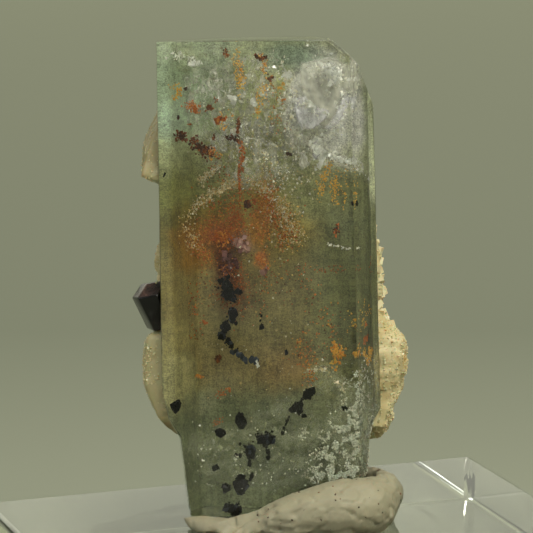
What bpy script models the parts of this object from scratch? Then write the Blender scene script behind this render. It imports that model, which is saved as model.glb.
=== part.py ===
# Aquamarine crystal with fluorite, schorl and feldspar, stood in putty on a clear display block.
# Lengths are in metres and +Z is up. The crystal's broad face looks along -Y.
import math

import bmesh
import bpy
from mathutils import Euler, Matrix, Vector, noise

MM = 0.001
GAP = 0.3 * MM                          # clearance kept between pieces that touch
LUMP_GAP = 0.75 * MM                    # a remesh after the cut eats some of this wider gap

# Clear acrylic display block, a stock 2 x 2 x 3/4 inch size
BLOCK_SIDE = 50.8 * MM
BLOCK_HEIGHT = 19.05 * MM
BLOCK_EDGE = 0.6 * MM
BLOCK_EDGE_STEPS = 2
BLOCK_TURN = math.radians(20.0)

# The specimen's own frame: x across the broad face, y into the crystal, z along it
SPECIMEN_FOOT = Vector((-4.8, 5.7, 20.85)) * MM
SPECIMEN_LEAN = math.radians(-6.0)
SPECIMEN_ROLL = math.radians(-1.0)

# Aquamarine: a hexagonal prism with unequal faces
CRYSTAL_LEFT = -10.05 * MM              # the sharp left edge
CRYSTAL_FRONT_LEFT = -9.8 * MM
CRYSTAL_FRONT_RIGHT = 8.0 * MM
CRYSTAL_DEPTH = 12.6 * MM
CRYSTAL_RIGHT_FACE = 4.3 * MM           # width of the narrow face on the right of the front
CRYSTAL_TOP = 43.5 * MM
CRYSTAL_BASE_GAP = 1.3 * MM             # height of the broken base above the block
CRYSTAL_TAPER = math.radians(0.5)       # the prism narrows this much towards the top
PRISM_ANGLE = math.radians(60.0)

# Schorl: a six-sided prism with a low three-sided cap at each end
SCHORL_RADIUS = 1.62
SCHORL_HALF_LENGTH = 2.3
SCHORL_FACE_TURN = 8                    # degrees round its own axis
SCHORL_CAPS = ((1, 0.42), (-1, 0.3))    # which end, and the slope of its cap
SCHORL_CAP_TURN = 38

# Fluorite: how far out each kind of face lies, as a share of the crystal's half height
OCTAHEDRON_REACH = 0.62
CUBE_REACH = 0.86

# Matrix and putty are lumps that a voxel remesh joins
MATRIX_VOXEL = 0.95 * MM
MATRIX_BUMPS = 0.16                     # bump height as a share of the lump
MATRIX_SEED = 3.1
PUTTY_VOXEL = 1.05 * MM
PUTTY_BUMPS = 0.07
PUTTY_SEED = 8.4
PUTTY_UNDERSIDE = BLOCK_HEIGHT + GAP
BUMPS_PER_MM = 0.55

# Helper solids reach well past the specimen
STOCK_SIDE = 200 * MM
CHIP_REACH = 16
CHIP_START = -5
SLAB_HALF_SIDE = 30
SLAB_THICKNESS = 10


def clear_scene():
    for thing in list(bpy.data.objects):
        bpy.data.objects.remove(thing, do_unlink=True)


def make_material(name, colour, roughness, transmission=0.0):
    material = bpy.data.materials.new(name)
    material.use_nodes = True
    shader = material.node_tree.nodes["Principled BSDF"]
    shader.inputs["Base Color"].default_value = (*colour, 1.0)
    shader.inputs["Roughness"].default_value = roughness
    shader.inputs["Metallic"].default_value = 0.0
    shader.inputs["Transmission Weight"].default_value = transmission
    return material


def add_object(name, mesh, material, parent=None):
    thing = bpy.data.objects.new(name, mesh)
    bpy.context.collection.objects.link(thing)
    if material:
        mesh.materials.append(material)
    thing.parent = parent
    return thing


def plane(x, y, z, normal, tilt=0.0):
    """A bounding plane through a point in millimetres, with its outward normal."""
    direction = Vector(normal).normalized()
    direction.z += tilt
    return Vector((x, y, z)) * MM, direction.normalized()


def solid_from_planes(planes, grow=0.0):
    """The convex solid that a list of planes bounds, each moved outwards by grow."""
    bm = bmesh.new()
    bmesh.ops.create_cube(bm, size=STOCK_SIDE)
    for point, normal in planes:
        everything = bm.verts[:] + bm.edges[:] + bm.faces[:]
        cut = bmesh.ops.bisect_plane(
            bm, geom=everything, plane_co=point + normal * grow, plane_no=normal, clear_outer=True
        )
        rim = [item for item in cut["geom_cut"] if isinstance(item, bmesh.types.BMEdge)]
        if rim:
            bmesh.ops.contextual_create(bm, geom=rim)
    bmesh.ops.recalc_face_normals(bm, faces=bm.faces[:])
    return bm


def mesh_from(bm, name):
    mesh = bpy.data.meshes.new(name)
    bm.to_mesh(mesh)
    bm.free()
    return mesh


def add_cutter(name, planes, parent, grow=GAP):
    cutter = add_object(name, mesh_from(solid_from_planes(planes, grow), name), None, parent)
    cutter.hide_render = True
    cutter.display_type = "WIRE"
    return cutter


def add_boolean(thing, other, operation="DIFFERENCE"):
    modifier = thing.modifiers.new(f"{operation.lower()} {other.name}", "BOOLEAN")
    modifier.operation = operation
    modifier.solver = "EXACT"
    modifier.object = other


def crystal_planes(has_base=True):
    """Prism faces, the top face, the chipped corners and the broken base."""
    side_normal_x = math.sin(PRISM_ANGLE)
    side_normal_y = math.cos(PRISM_ANGLE)
    right = CRYSTAL_FRONT_RIGHT / MM
    right_edge = right + CRYSTAL_RIGHT_FACE / MM * math.cos(PRISM_ANGLE)
    right_edge_depth = CRYSTAL_RIGHT_FACE / MM * math.sin(PRISM_ANGLE)
    depth = CRYSTAL_DEPTH / MM
    taper = math.sin(CRYSTAL_TAPER)
    prism = [
        plane(0, 0, 0, (0, -1, 0)),
        plane(CRYSTAL_FRONT_LEFT / MM, 0, 20, (-side_normal_x, -side_normal_y, 0)),
        plane(CRYSTAL_LEFT / MM, 0.45, 20, (-side_normal_x, side_normal_y, 0), taper),
        plane(0, depth, 0, (0, 1, 0)),
        plane(right, 0, 20, (side_normal_x, -side_normal_y, 0), taper),
        plane(right_edge, right_edge_depth, 20, (side_normal_x, side_normal_y, 0), taper),
    ]
    top = [
        plane(0, 0, CRYSTAL_TOP / MM, (0.006, -0.004, 1)),
        plane(6.1, 0, 43.5, (0.66, 0.06, 0.74)),
        plane(8.5, 0, 41.4, (0.92, 0.04, 0.36)),
        plane(5.4, 12.6, 43.5, (0.5, 0.35, 0.7)),
        plane(-2.6, 12.6, 43.0, (-0.5, 0.6, 0.75)),
    ]
    lower_end = [
        plane(-10.1, 0.5, 11.8, (-0.98, -0.1, -0.18)),
        plane(0, 12.6, 6.0, (0.1, 0.9, -0.43)),
    ]
    upright = specimen_rotation().inverted() @ Vector((0, 0, -1))
    base_height = BLOCK_HEIGHT + CRYSTAL_BASE_GAP - SPECIMEN_FOOT.z
    base = [(specimen_rotation().inverted() @ Vector((0, 0, base_height)), upright)]
    return prism + top + lower_end + (base if has_base else [])


def crystal_chips():
    """Wedges broken out of the lower left and lower right edges."""
    left = [
        plane(-8.4, 0, 6.9, (0.99, 0.08, 0.105)),
        plane(-8.4, 0, 6.9, (0.86, 0.05, 0.5)),
    ]
    right = [
        plane(9.28, 3, 7.35, (-0.99, 0.06, 0.11)),
        plane(9.28, 3, 7.35, (-0.88, 0.1, 0.47)),
    ]
    ends = [
        plane(0, 0, CHIP_START, (0, 0, -1)),
        plane(0, CHIP_START, 0, (0, -1, 0)),
        plane(0, CHIP_REACH, 0, (0, 1, 0)),
    ]
    left_end = plane(-CHIP_REACH, 0, 0, (-1, 0, 0))
    right_end = plane(CHIP_REACH, 0, 0, (1, 0, 0))
    return [left + ends + [left_end], right + ends + [right_end]]


def add_crystal(name, frame, material=None, grow=0.0, has_base=True):
    """The crystal, or the room that it needs when grow is more than nothing."""
    solid = solid_from_planes(crystal_planes(has_base), grow)
    crystal = add_object(name, mesh_from(solid, name), material, frame)
    for index, chip in enumerate(crystal_chips(), start=1):
        add_boolean(crystal, add_cutter(f"chip {index} of {name}", chip, frame, -grow))
    if not material:
        crystal.hide_render = True
        crystal.display_type = "WIRE"
    return crystal


def schorl_planes():
    """A short black tourmaline prism, its axis leaning out to the upper left."""
    centre = Vector((-10.45, 3.1, 19.1))
    turn = Euler((math.radians(10), math.radians(-26), math.radians(12))).to_matrix()
    planes = []
    for step in range(6):
        angle = math.radians(60 * step + SCHORL_FACE_TURN)
        reach = SCHORL_RADIUS if step % 2 else SCHORL_RADIUS * 1.06
        normal = turn @ Vector((math.cos(angle), math.sin(angle), 0))
        planes.append(plane(*(centre + normal * reach), normal))
    for end, slope in SCHORL_CAPS:
        for step in range(3):
            angle = math.radians(120 * step + SCHORL_CAP_TURN * end)
            normal = turn @ Vector((slope * math.cos(angle), slope * math.sin(angle), end)).normalized()
            planes.append(plane(*(centre + turn @ Vector((0, 0, end * SCHORL_HALF_LENGTH))), normal))
    return planes


def upper_feldspar_planes():
    """A cleavage fragment of feldspar stuck behind the crystal's upper left edge."""
    return [
        plane(-10.0, 3, 36.0, (-0.86, -0.2, 0.47)),
        plane(-11.35, 3, 33.2, (-0.98, -0.1, 0.2)),
        plane(-11.7, 3, 31.2, (-0.9, 0.1, -0.43)),
        plane(-10.6, 3, 30.7, (-0.3, -0.1, -0.95)),
        plane(-10.6, 1.5, 34, (-0.2, -0.97, 0.1)),
        plane(-8, 7.4, 34, (-0.35, 0.93, 0.05)),
        plane(-8.2, 3, 36, (0.45, -0.2, 0.87)),
        plane(-6.6, 7, 34, (1, 0, 0.1)),
    ]


def lower_feldspar_planes():
    """A smooth cream feldspar mass behind the crystal's lower left edge."""
    return [
        plane(-11.8, 4, 13.5, (-1, -0.06, 0.05)),
        plane(-11.1, 4, 16.1, (-0.7, 0.15, 0.7)),
        plane(-10.2, 4, 17.4, (-0.1, -0.12, 1)),
        plane(-11.4, 4, 10.2, (-0.93, -0.05, -0.36)),
        plane(-9.6, 4, 7.4, (-0.72, -0.08, -0.69)),
        plane(-10, 1.6, 12, (-0.35, -0.93, 0.02)),
        plane(-8, 8.6, 12, (-0.45, 0.89, 0.1)),
        plane(-8, 6, 6.6, (0.1, -0.1, -1)),
        plane(-5.6, 8, 12, (1, 0, -0.05)),
    ]


def fluorite_crystals():
    """Octahedra with small cube faces: (centre, half height, turns in degrees)."""
    return [
        ((-3.0, 15.2, 24.6), 2.7, (20, 10, 15)),
        ((-0.8, 15.9, 23.0), 2.1, (-25, 30, 50)),
        ((-4.6, 15.6, 22.3), 1.8, (40, -15, 20)),
    ]


def fluorite_pocket():
    """One hollow in the matrix that holds the whole fluorite cluster."""
    return (-2.6, 15.4, 23.6), 4.1, (10, 5, 20)


def octahedron_planes(centre, half_height, turns):
    turn = Euler([math.radians(angle) for angle in turns]).to_matrix()
    middle = Vector(centre)
    planes = []
    for x in (-1, 1):
        for y in (-1, 1):
            for z in (-1, 1):
                normal = turn @ Vector((x, y, z)).normalized()
                planes.append(plane(*(middle + normal * half_height * OCTAHEDRON_REACH), normal))
    for axis in range(3):
        for side in (-1, 1):
            normal = turn @ Vector([side if index == axis else 0 for index in range(3)])
            planes.append(plane(*(middle + normal * half_height * CUBE_REACH), normal))
    return planes


def lumps_mesh(name, lumps, roughness, seed, floor=None):
    """Bumpy ellipsoids, given as (centre, radii) in millimetres, in one mesh."""
    bm = bmesh.new()
    offset = Vector((seed, seed * 0.7, -seed))
    for centre, radii in lumps:
        ball = bmesh.ops.create_icosphere(bm, subdivisions=3, radius=1.0)["verts"]
        for vert in ball:
            direction = vert.co.normalized()
            place = Vector(c + r * d for c, r, d in zip(centre, radii, direction))
            bump = 1 + roughness * noise.noise(place * BUMPS_PER_MM + offset)
            vert.co = Vector(c + r * d * bump for c, r, d in zip(centre, radii, direction)) * MM
            if floor is not None:
                vert.co.z = max(vert.co.z, floor)
    return mesh_from(bm, name)


def matrix_lumps():
    """Sugary albite over the back faces, with a bulge past the crystal's right edge."""
    return [
        ((-2.2, 13.2, 20.0), (6.2, 3.4, 10.6)),
        ((3.6, 12.9, 17.5), (5.2, 3.6, 9.5)),
        ((7.8, 9.8, 15.0), (3.4, 4.4, 9.0)),
        ((8.7, 8.2, 20.6), (2.0, 3.0, 7.0)),
        ((10.0, 7.2, 11.6), (2.6, 3.4, 4.9)),
        ((10.8, 6.8, 13.8), (2.4, 2.8, 2.7)),
        ((9.3, 7.0, 8.2), (1.9, 2.8, 3.4)),
        ((-7.4, 9.6, 21.0), (3.3, 3.6, 7.0)),
        ((-9.3, 6.3, 23.0), (1.4, 2.4, 2.6)),
    ]


def putty_lumps():
    """A putty roll pressed round the crystal's foot, thick on the right, thin on the left."""
    top = BLOCK_HEIGHT / MM
    front = [(-12.1, 4.4, 2.7, 1.8), (-10.2, 3.2, 2.0, 2.1), (-8.4, 2.8, 1.8, 2.2), (-6.4, 3.0, 2.5, 2.4),
             (-3.8, 2.9, 3.6, 2.8), (-1.4, 2.8, 4.8, 3.0), (1.0, 3.0, 5.6, 3.2), (3.3, 4.3, 5.7, 3.2),
             (4.0, 4.2, 4.0, 2.6), (4.5, 6.4, 5.5, 2.9)]
    round_the_back = [(4.9, 9.3, 5.0, 2.9), (4.6, 12.6, 4.4, 2.9), (2.6, 15.6, 4.0, 3.0),
                      (-0.8, 17.4, 3.8, 3.0), (-4.4, 18.0, 3.6, 2.8), (-7.6, 17.4, 3.2, 2.4)]
    return [
        ((x, y, top + height / 2), (width, width, height / 2))
        for x, y, height, width in front + round_the_back
    ]


def specimen_rotation():
    return Matrix.Rotation(SPECIMEN_LEAN, 3, "X") @ Matrix.Rotation(SPECIMEN_ROLL, 3, "Y")


def add_specimen_frame():
    frame = bpy.data.objects.new("specimen_frame", None)
    bpy.context.collection.objects.link(frame)
    frame.location = SPECIMEN_FOOT
    frame.rotation_euler = specimen_rotation().to_euler()
    return frame


def add_remesh(thing, voxel):
    modifier = thing.modifiers.new("join lumps", "REMESH")
    modifier.mode = "VOXEL"
    modifier.voxel_size = voxel
    modifier.use_smooth_shade = True


def build_block(material):
    bm = bmesh.new()
    bmesh.ops.create_cube(bm, size=1.0)
    bmesh.ops.scale(bm, vec=(BLOCK_SIDE, BLOCK_SIDE, BLOCK_HEIGHT), verts=bm.verts)
    block = add_object("display_block", mesh_from(bm, "display_block"), material)
    block.location = (0, 0, BLOCK_HEIGHT / 2)
    block.rotation_euler = (0, 0, BLOCK_TURN)
    bevel = block.modifiers.new("eased edges", "BEVEL")
    bevel.width = BLOCK_EDGE
    bevel.segments = BLOCK_EDGE_STEPS


def build_faceted(name, planes, material, frame):
    return add_object(name, mesh_from(solid_from_planes(planes), name), material, frame)


def build_fluorite(material, frame):
    crystals = fluorite_crystals()
    cluster = build_faceted("fluorite_cluster", octahedron_planes(*crystals[0]), material, frame)
    for index, crystal in enumerate(crystals[1:], start=2):
        other = add_cutter(f"fluorite part {index}", octahedron_planes(*crystal), frame, grow=0.0)
        add_boolean(cluster, other, "UNION")
    return cluster


def build_matrix(material, frame, cutters):
    mesh = lumps_mesh("albite_matrix", matrix_lumps(), MATRIX_BUMPS, MATRIX_SEED)
    matrix = add_object("albite_matrix", mesh, material, frame)
    add_remesh(matrix, MATRIX_VOXEL)
    for cutter in cutters:
        add_boolean(matrix, cutter)
    add_remesh(matrix, MATRIX_VOXEL)


def build_putty(material, cutters):
    floor = BLOCK_HEIGHT + GAP / 2
    mesh = lumps_mesh("mounting_putty", putty_lumps(), PUTTY_BUMPS, PUTTY_SEED, floor)
    putty = add_object("mounting_putty", mesh, material)
    add_remesh(putty, PUTTY_VOXEL)
    for cutter in cutters:
        add_boolean(putty, cutter)
    add_remesh(putty, PUTTY_VOXEL)


def build_all():
    clear_scene()
    frame = add_specimen_frame()
    aquamarine = make_material("aquamarine", (0.56, 0.66, 0.58), 0.05, 0.9)
    schorl = make_material("schorl", (0.012, 0.011, 0.011), 0.12)
    feldspar = make_material("feldspar", (0.62, 0.58, 0.46), 0.45)
    albite = make_material("albite", (0.64, 0.58, 0.44), 0.6)
    fluorite = make_material("fluorite", (0.30, 0.12, 0.32), 0.1, 0.5)
    putty = make_material("putty", (0.45, 0.42, 0.35), 0.7)
    acrylic = make_material("clear acrylic", (0.9, 0.93, 0.9), 0.03, 0.95)

    build_block(acrylic)
    add_crystal("aquamarine", frame, aquamarine)
    crystal_room = add_crystal("room for aquamarine", frame, grow=GAP)

    schorl_prism = build_faceted("schorl_prism", schorl_planes(), schorl, frame)
    upper = build_faceted("upper_feldspar", upper_feldspar_planes(), feldspar, frame)
    lower = build_faceted("lower_feldspar", lower_feldspar_planes(), feldspar, frame)
    cluster = build_fluorite(fluorite, frame)
    for neighbour in (schorl_prism, upper, lower, cluster):
        add_boolean(neighbour, crystal_room)

    schorl_room = add_cutter("room for schorl", schorl_planes(), frame)
    add_boolean(lower, schorl_room)

    wide_crystal_room = add_crystal("wide room for aquamarine", frame, grow=LUMP_GAP, has_base=False)
    wide_rooms = [
        add_cutter(f"wide room for {name}", planes, frame, LUMP_GAP)
        for name, planes in (
            ("schorl", schorl_planes()),
            ("lower feldspar", lower_feldspar_planes()),
            ("fluorite", octahedron_planes(*fluorite_pocket())),
        )
    ]
    build_matrix(albite, frame, [wide_crystal_room, *wide_rooms])
    block_room = add_cutter("room for block", block_top_planes(), None, grow=0.0)
    build_putty(putty, [wide_crystal_room, block_room])


def block_top_planes():
    """A slab whose upper side is the putty's underside."""
    half = SLAB_HALF_SIDE
    top = PUTTY_UNDERSIDE / MM
    return [
        plane(half, 0, 0, (1, 0, 0)),
        plane(-half, 0, 0, (-1, 0, 0)),
        plane(0, half, 0, (0, 1, 0)),
        plane(0, -half, 0, (0, -1, 0)),
        plane(0, 0, top, (0, 0, 1)),
        plane(0, 0, top - SLAB_THICKNESS, (0, 0, -1)),
    ]


build_all()
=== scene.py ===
import math
import random

import bmesh
import bpy
from mathutils import Euler, Matrix, Vector, noise
from mathutils.bvhtree import BVHTree


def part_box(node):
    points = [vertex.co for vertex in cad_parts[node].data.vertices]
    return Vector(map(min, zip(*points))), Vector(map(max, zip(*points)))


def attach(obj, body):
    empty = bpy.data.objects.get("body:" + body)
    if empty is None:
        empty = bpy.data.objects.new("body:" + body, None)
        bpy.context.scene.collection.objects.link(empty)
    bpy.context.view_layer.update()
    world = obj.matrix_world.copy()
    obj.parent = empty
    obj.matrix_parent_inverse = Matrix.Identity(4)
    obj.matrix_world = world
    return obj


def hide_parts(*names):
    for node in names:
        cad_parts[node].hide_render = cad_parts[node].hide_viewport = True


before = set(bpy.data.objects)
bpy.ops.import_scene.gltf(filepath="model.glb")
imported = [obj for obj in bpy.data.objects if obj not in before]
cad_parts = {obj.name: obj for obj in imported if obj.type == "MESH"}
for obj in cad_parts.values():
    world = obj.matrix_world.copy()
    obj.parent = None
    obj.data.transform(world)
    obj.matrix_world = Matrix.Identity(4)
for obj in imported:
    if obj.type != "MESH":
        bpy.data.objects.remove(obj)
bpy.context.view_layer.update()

mm = 0.001

# The specimen's own frame: x across the broad face, y into the crystal, z along it, in millimetres
specimen = {
    "foot": (-4.8, 5.7, 20.85),
    "lean": -6.0,           # degrees, the top leans back
    "roll": -1.0,           # degrees, the top leans left
    "frontRight": 8.0,      # where the broad face ends and the narrow one starts
    "depth": 12.6,
    "top": 43.5,
}
specimenTurn = (Matrix.Rotation(math.radians(specimen["lean"]), 4, "X")
                @ Matrix.Rotation(math.radians(specimen["roll"]), 4, "Y"))
specimenPlace = (Matrix.Translation(Vector(specimen["foot"]) * mm) @ specimenTurn
                 @ Matrix.Diagonal((mm, mm, mm, 1)))
specimenPlaceBack = specimenPlace.inverted()


def place(x, y, z):
    return specimenPlace @ Vector((x, y, z))


# Camera and studio

photoView = {
    "place": (-5.4, -271.3, 100.35),    # mm
    "pitch": 11.5,                      # degrees below level
    "lens": 209.4,
    "sensor": 36.0,
}

studio = {
    "floorSize": 4.0,
    "floorPaintedLightNear": "#8E9280",     # painted light and shade: the paper is painted darker behind the block, then lighter again
    "floorPaintedShadeBehindBlock": "#747967",
    "floorPaintedLightFar": "#9CA08A",
    "worldColour": "#C6C8B4",
    "worldStrength": 0.50,
    "interiorGain": 1.75,       # what is seen inside the crystal loses light, so its colours are lifted
    "key": {"place": (0.26, -0.34, 0.66), "size": (0.40, 0.40), "power": 7.5, "colour": "#FFFAF0"},
    "fill": {"place": (-0.55, -0.35, 0.35), "size": (0.40, 0.40), "power": 1.5, "colour": "#F6F8FF"},
    "back": {"place": (-0.1, 1.00, 0.32), "size": (1.6, 0.5), "power": 1.7, "colour": "#FBFBE8"},
}


def linearColour(code, alpha=1.0):
    channels = [int(code[start:start + 2], 16) / 255 for start in (1, 3, 5)]
    linear = [c / 12.92 if c <= 0.04045 else ((c + 0.055) / 1.055) ** 2.4 for c in channels]
    return (*linear, alpha)


def insideColour(code):
    linear = linearColour(code)
    return (*[min(0.9, c * studio["interiorGain"]) for c in linear[:3]], 1.0)


def addCamera():
    bpy.ops.object.camera_add(location=Vector(photoView["place"]) * mm,
                              rotation=(math.radians(90 - photoView["pitch"]), 0, 0))
    camera = bpy.context.object
    camera.data.sensor_width = photoView["sensor"]
    camera.data.lens = photoView["lens"]
    camera.data.clip_start = 0.01
    camera.data.clip_end = 20.0
    bpy.context.scene.camera = camera


def addLight(name, settings):
    where = Vector(settings["place"])
    aim = Vector((0, 0, 0.035)) - where
    bpy.ops.object.light_add(type="AREA", location=where, rotation=aim.to_track_quat("-Z", "Y").to_euler())
    light = bpy.context.object
    light.name = name
    light.data.shape = "RECTANGLE"
    light.data.size, light.data.size_y = settings["size"]
    light.data.energy = settings["power"]
    light.data.color = linearColour(settings["colour"])[:3]


def addWorld():
    world = bpy.data.worlds.new("soft studio")
    bpy.context.scene.world = world
    world.use_nodes = True
    background = world.node_tree.nodes["Background"]
    background.inputs["Color"].default_value = linearColour(studio["worldColour"])
    background.inputs["Strength"].default_value = studio["worldStrength"]


# Materials

def newMaterial(name):
    material = bpy.data.materials.new(name)
    material.use_nodes = True
    nodes = material.node_tree.nodes
    nodes.clear()
    output = nodes.new("ShaderNodeOutputMaterial")
    shader = nodes.new("ShaderNodeBsdfPrincipled")
    material.node_tree.links.new(shader.outputs["BSDF"], output.inputs["Surface"])
    return material, shader


def addNode(material, kind, values=None, links=None, **properties):
    node = material.node_tree.nodes.new(kind)
    for name, value in properties.items():
        setattr(node, name, value)
    for name, value in (values or {}).items():
        node.inputs[name].default_value = value
    for name, source in (links or {}).items():
        material.node_tree.links.new(source, node.inputs[name])
    return node


def setRamp(node, stops, colourOf=linearColour):
    ramp = node.color_ramp
    while len(ramp.elements) < len(stops):
        ramp.elements.new(1.0)
    for element, (position, colour) in zip(ramp.elements, stops):
        element.position = position
        element.color = colourOf(colour)


def linkTo(material, shader, **sources):
    for name, source in sources.items():
        material.node_tree.links.new(source, shader.inputs[name.replace("_", " ")])


def alongCrystal(material, stretch=(1, 1, 1)):
    # the specimen's own millimetres, then stretched along it
    coords = addNode(material, "ShaderNodeTexCoord")
    turned = addNode(material, "ShaderNodeMapping",
                     {"Rotation": specimenTurn.inverted().to_euler(), "Scale": (1000, 1000, 1000),
                      "Location": specimenPlaceBack.to_translation()},
                     {"Vector": coords.outputs["Object"]}, vector_type="POINT")
    return addNode(material, "ShaderNodeMapping", {"Scale": stretch},
                   {"Vector": turned.outputs["Vector"]}, vector_type="POINT").outputs["Vector"]


def berylMaterial():
    # Natural beryl, IOR 1.577: glassy faces with fine growth striations along the prism
    material, shader = newMaterial("natural pale beryl")
    shader.inputs["Base Color"].default_value = linearColour("#FFFFFF")
    shader.inputs["Transmission Weight"].default_value = 1.0
    shader.inputs["IOR"].default_value = 1.577
    striae = addNode(material, "ShaderNodeTexNoise", {"Scale": 1.0, "Detail": 3.0, "Roughness": 0.6},
                     {"Vector": alongCrystal(material, (3.2, 3.2, 0.11))})
    patches = addNode(material, "ShaderNodeTexNoise", {"Scale": 1.0, "Detail": 2.0},
                      {"Vector": alongCrystal(material, (0.5, 0.5, 0.35))})
    rough = addNode(material, "ShaderNodeMapRange", {"From Min": 0.35, "From Max": 0.7,
                                                     "To Min": 0.02, "To Max": 0.07},
                    {"Value": patches.outputs["Fac"]})
    # the lower end was etched, so it is frosted
    height = addNode(material, "ShaderNodeSeparateXYZ", links={"Vector": alongCrystal(material)})
    frost = addNode(material, "ShaderNodeMapRange", {"From Min": 11.0, "From Max": 7.0, "To Min": 0.0,
                                                     "To Max": 0.05}, {"Value": height.outputs["Z"]})
    rough = addNode(material, "ShaderNodeMath", links={0: rough.outputs["Result"], 1: frost.outputs["Result"]},
                    operation="ADD")
    bump = addNode(material, "ShaderNodeBump", {"Strength": 0.35, "Distance": 0.00001},
                   {"Height": striae.outputs["Fac"]})
    linkTo(material, shader, Roughness=rough.outputs["Value"], Normal=bump.outputs["Normal"])
    body = addNode(material, "ShaderNodeVolumeAbsorption", {"Color": linearColour("#B9D2BE"), "Density": 8.0})
    output = material.node_tree.nodes["Material Output"]
    material.node_tree.links.new(body.outputs["Volume"], output.inputs["Volume"])
    return material


def acrylicMaterial():
    # Cast acrylic, IOR 1.49: clear, flame-polished, faintly green in depth, with handling scratches
    material, shader = newMaterial("cast clear acrylic")
    shader.inputs["Base Color"].default_value = linearColour("#FFFFFF")
    shader.inputs["Transmission Weight"].default_value = 1.0
    shader.inputs["IOR"].default_value = 1.49
    coords = addNode(material, "ShaderNodeTexCoord")
    haze = addNode(material, "ShaderNodeTexNoise", {"Scale": 160.0, "Detail": 4.0},
                   {"Vector": coords.outputs["Object"]})
    rough = addNode(material, "ShaderNodeMapRange", {"From Min": 0.4, "From Max": 0.75,
                                                     "To Min": 0.01, "To Max": 0.06},
                    {"Value": haze.outputs["Fac"]})
    rubbed = addNode(material, "ShaderNodeMapping", {"Rotation": (0, 0, math.radians(35)), "Scale": (60, 1800, 60)},
                     {"Vector": coords.outputs["Object"]}, vector_type="POINT")
    scratches = addNode(material, "ShaderNodeTexNoise", {"Scale": 1.0, "Detail": 4.0},
                        {"Vector": rubbed.outputs["Vector"]})
    bump = addNode(material, "ShaderNodeBump", {"Strength": 0.25, "Distance": 0.00001},
                   {"Height": scratches.outputs["Fac"]})
    linkTo(material, shader, Roughness=rough.outputs["Result"], Normal=bump.outputs["Normal"])
    body = addNode(material, "ShaderNodeVolumeAbsorption", {"Color": linearColour("#DFE6C6"), "Density": 12.0})
    output = material.node_tree.nodes["Material Output"]
    material.node_tree.links.new(body.outputs["Volume"], output.inputs["Volume"])
    return material


def mineralMaterial(name, stops, grain, roughness, bumpDepth, subsurface=0.0, stretch=(1, 1, 1), specular=0.5):
    # rock with a colour ramp over two sizes of patch; grain is the patch size in millimetres.
    material, shader = newMaterial(name)
    vector = alongCrystal(material, [s / grain for s in stretch])
    broad = addNode(material, "ShaderNodeTexNoise", {"Scale": 0.45, "Detail": 6.0, "Roughness": 0.65},
                    {"Vector": vector})
    ramp = addNode(material, "ShaderNodeValToRGB", links={"Fac": broad.outputs["Fac"]})
    setRamp(ramp, stops)
    fine = addNode(material, "ShaderNodeTexNoise", {"Scale": 2.4, "Detail": 5.0, "Roughness": 0.7},
                   {"Vector": vector})
    rough = addNode(material, "ShaderNodeMapRange", {"From Min": 0.3, "From Max": 0.7,
                                                     "To Min": roughness[0], "To Max": roughness[1]},
                    {"Value": fine.outputs["Fac"]})
    bump = addNode(material, "ShaderNodeBump", {"Strength": 0.6, "Distance": bumpDepth * mm},
                   {"Height": fine.outputs["Fac"]})
    linkTo(material, shader, Base_Color=ramp.outputs["Color"], Roughness=rough.outputs["Result"],
           Normal=bump.outputs["Normal"])
    shader.inputs["Specular IOR Level"].default_value = specular
    shader.inputs["Subsurface Weight"].default_value = subsurface
    shader.inputs["Subsurface Scale"].default_value = 0.0008
    return material


def shadeRampMaterial(name, stops, roughness, specular=0.5, subsurface=0.0, colourOf=linearColour):
    # grains whose colour follows the shade that each was given
    material, shader = newMaterial(name)
    shade = addNode(material, "ShaderNodeAttribute", attribute_name="shade")
    ramp = addNode(material, "ShaderNodeValToRGB", links={"Fac": shade.outputs["Fac"]})
    setRamp(ramp, stops, colourOf)
    mottle = addNode(material, "ShaderNodeTexNoise", {"Scale": 4.0, "Detail": 3.0},
                     {"Vector": alongCrystal(material)})
    rough = addNode(material, "ShaderNodeMapRange", {"From Min": 0.3, "From Max": 0.7,
                                                     "To Min": roughness[0], "To Max": roughness[1]},
                    {"Value": mottle.outputs["Fac"]})
    linkTo(material, shader, Base_Color=ramp.outputs["Color"], Roughness=rough.outputs["Result"])
    shader.inputs["Specular IOR Level"].default_value = specular
    shader.inputs["Subsurface Weight"].default_value = subsurface
    shader.inputs["Subsurface Scale"].default_value = 0.0004
    return material


def veilMaterial(name, colour, strength, stretch, roughness=0.3, contrast=(0.42, 0.66), least=0.0):
    # a healed fracture or a stain film: patchy, and thin towards its rim
    material, shader = newMaterial(name)
    shader.inputs["Base Color"].default_value = insideColour(colour)
    shader.inputs["Roughness"].default_value = roughness
    cover = addNode(material, "ShaderNodeAttribute", attribute_name="cover")
    streaks = addNode(material, "ShaderNodeTexNoise", {"Scale": 1.0, "Detail": 7.0, "Roughness": 0.75},
                      {"Vector": alongCrystal(material, stretch)})
    patchy = addNode(material, "ShaderNodeMapRange", {"From Min": contrast[0], "From Max": contrast[1],
                                                      "To Min": least, "To Max": strength},
                     {"Value": streaks.outputs["Fac"]})
    alpha = addNode(material, "ShaderNodeMath", links={0: patchy.outputs["Result"], 1: cover.outputs["Fac"]},
                    operation="MULTIPLY")
    linkTo(material, shader, Alpha=alpha.outputs["Value"])
    return material


# The cloudy heart of the crystal: milky beryl, with iron stain painted through it; its paler top is partly painted
# light and its darker foot painted shade

heart = {
    "clear": 4.3,              # clear beryl in front of it, mm
    "behind": 2.2,             # where the crystal is thinner than that, its front lies this far from the back
    "least": 0.35,
    "inset": 0.12,             # clear beryl at the other faces
    "base": "#676944",
    "warp": 1.5,               # how ragged the zones are, mm
}

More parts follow.
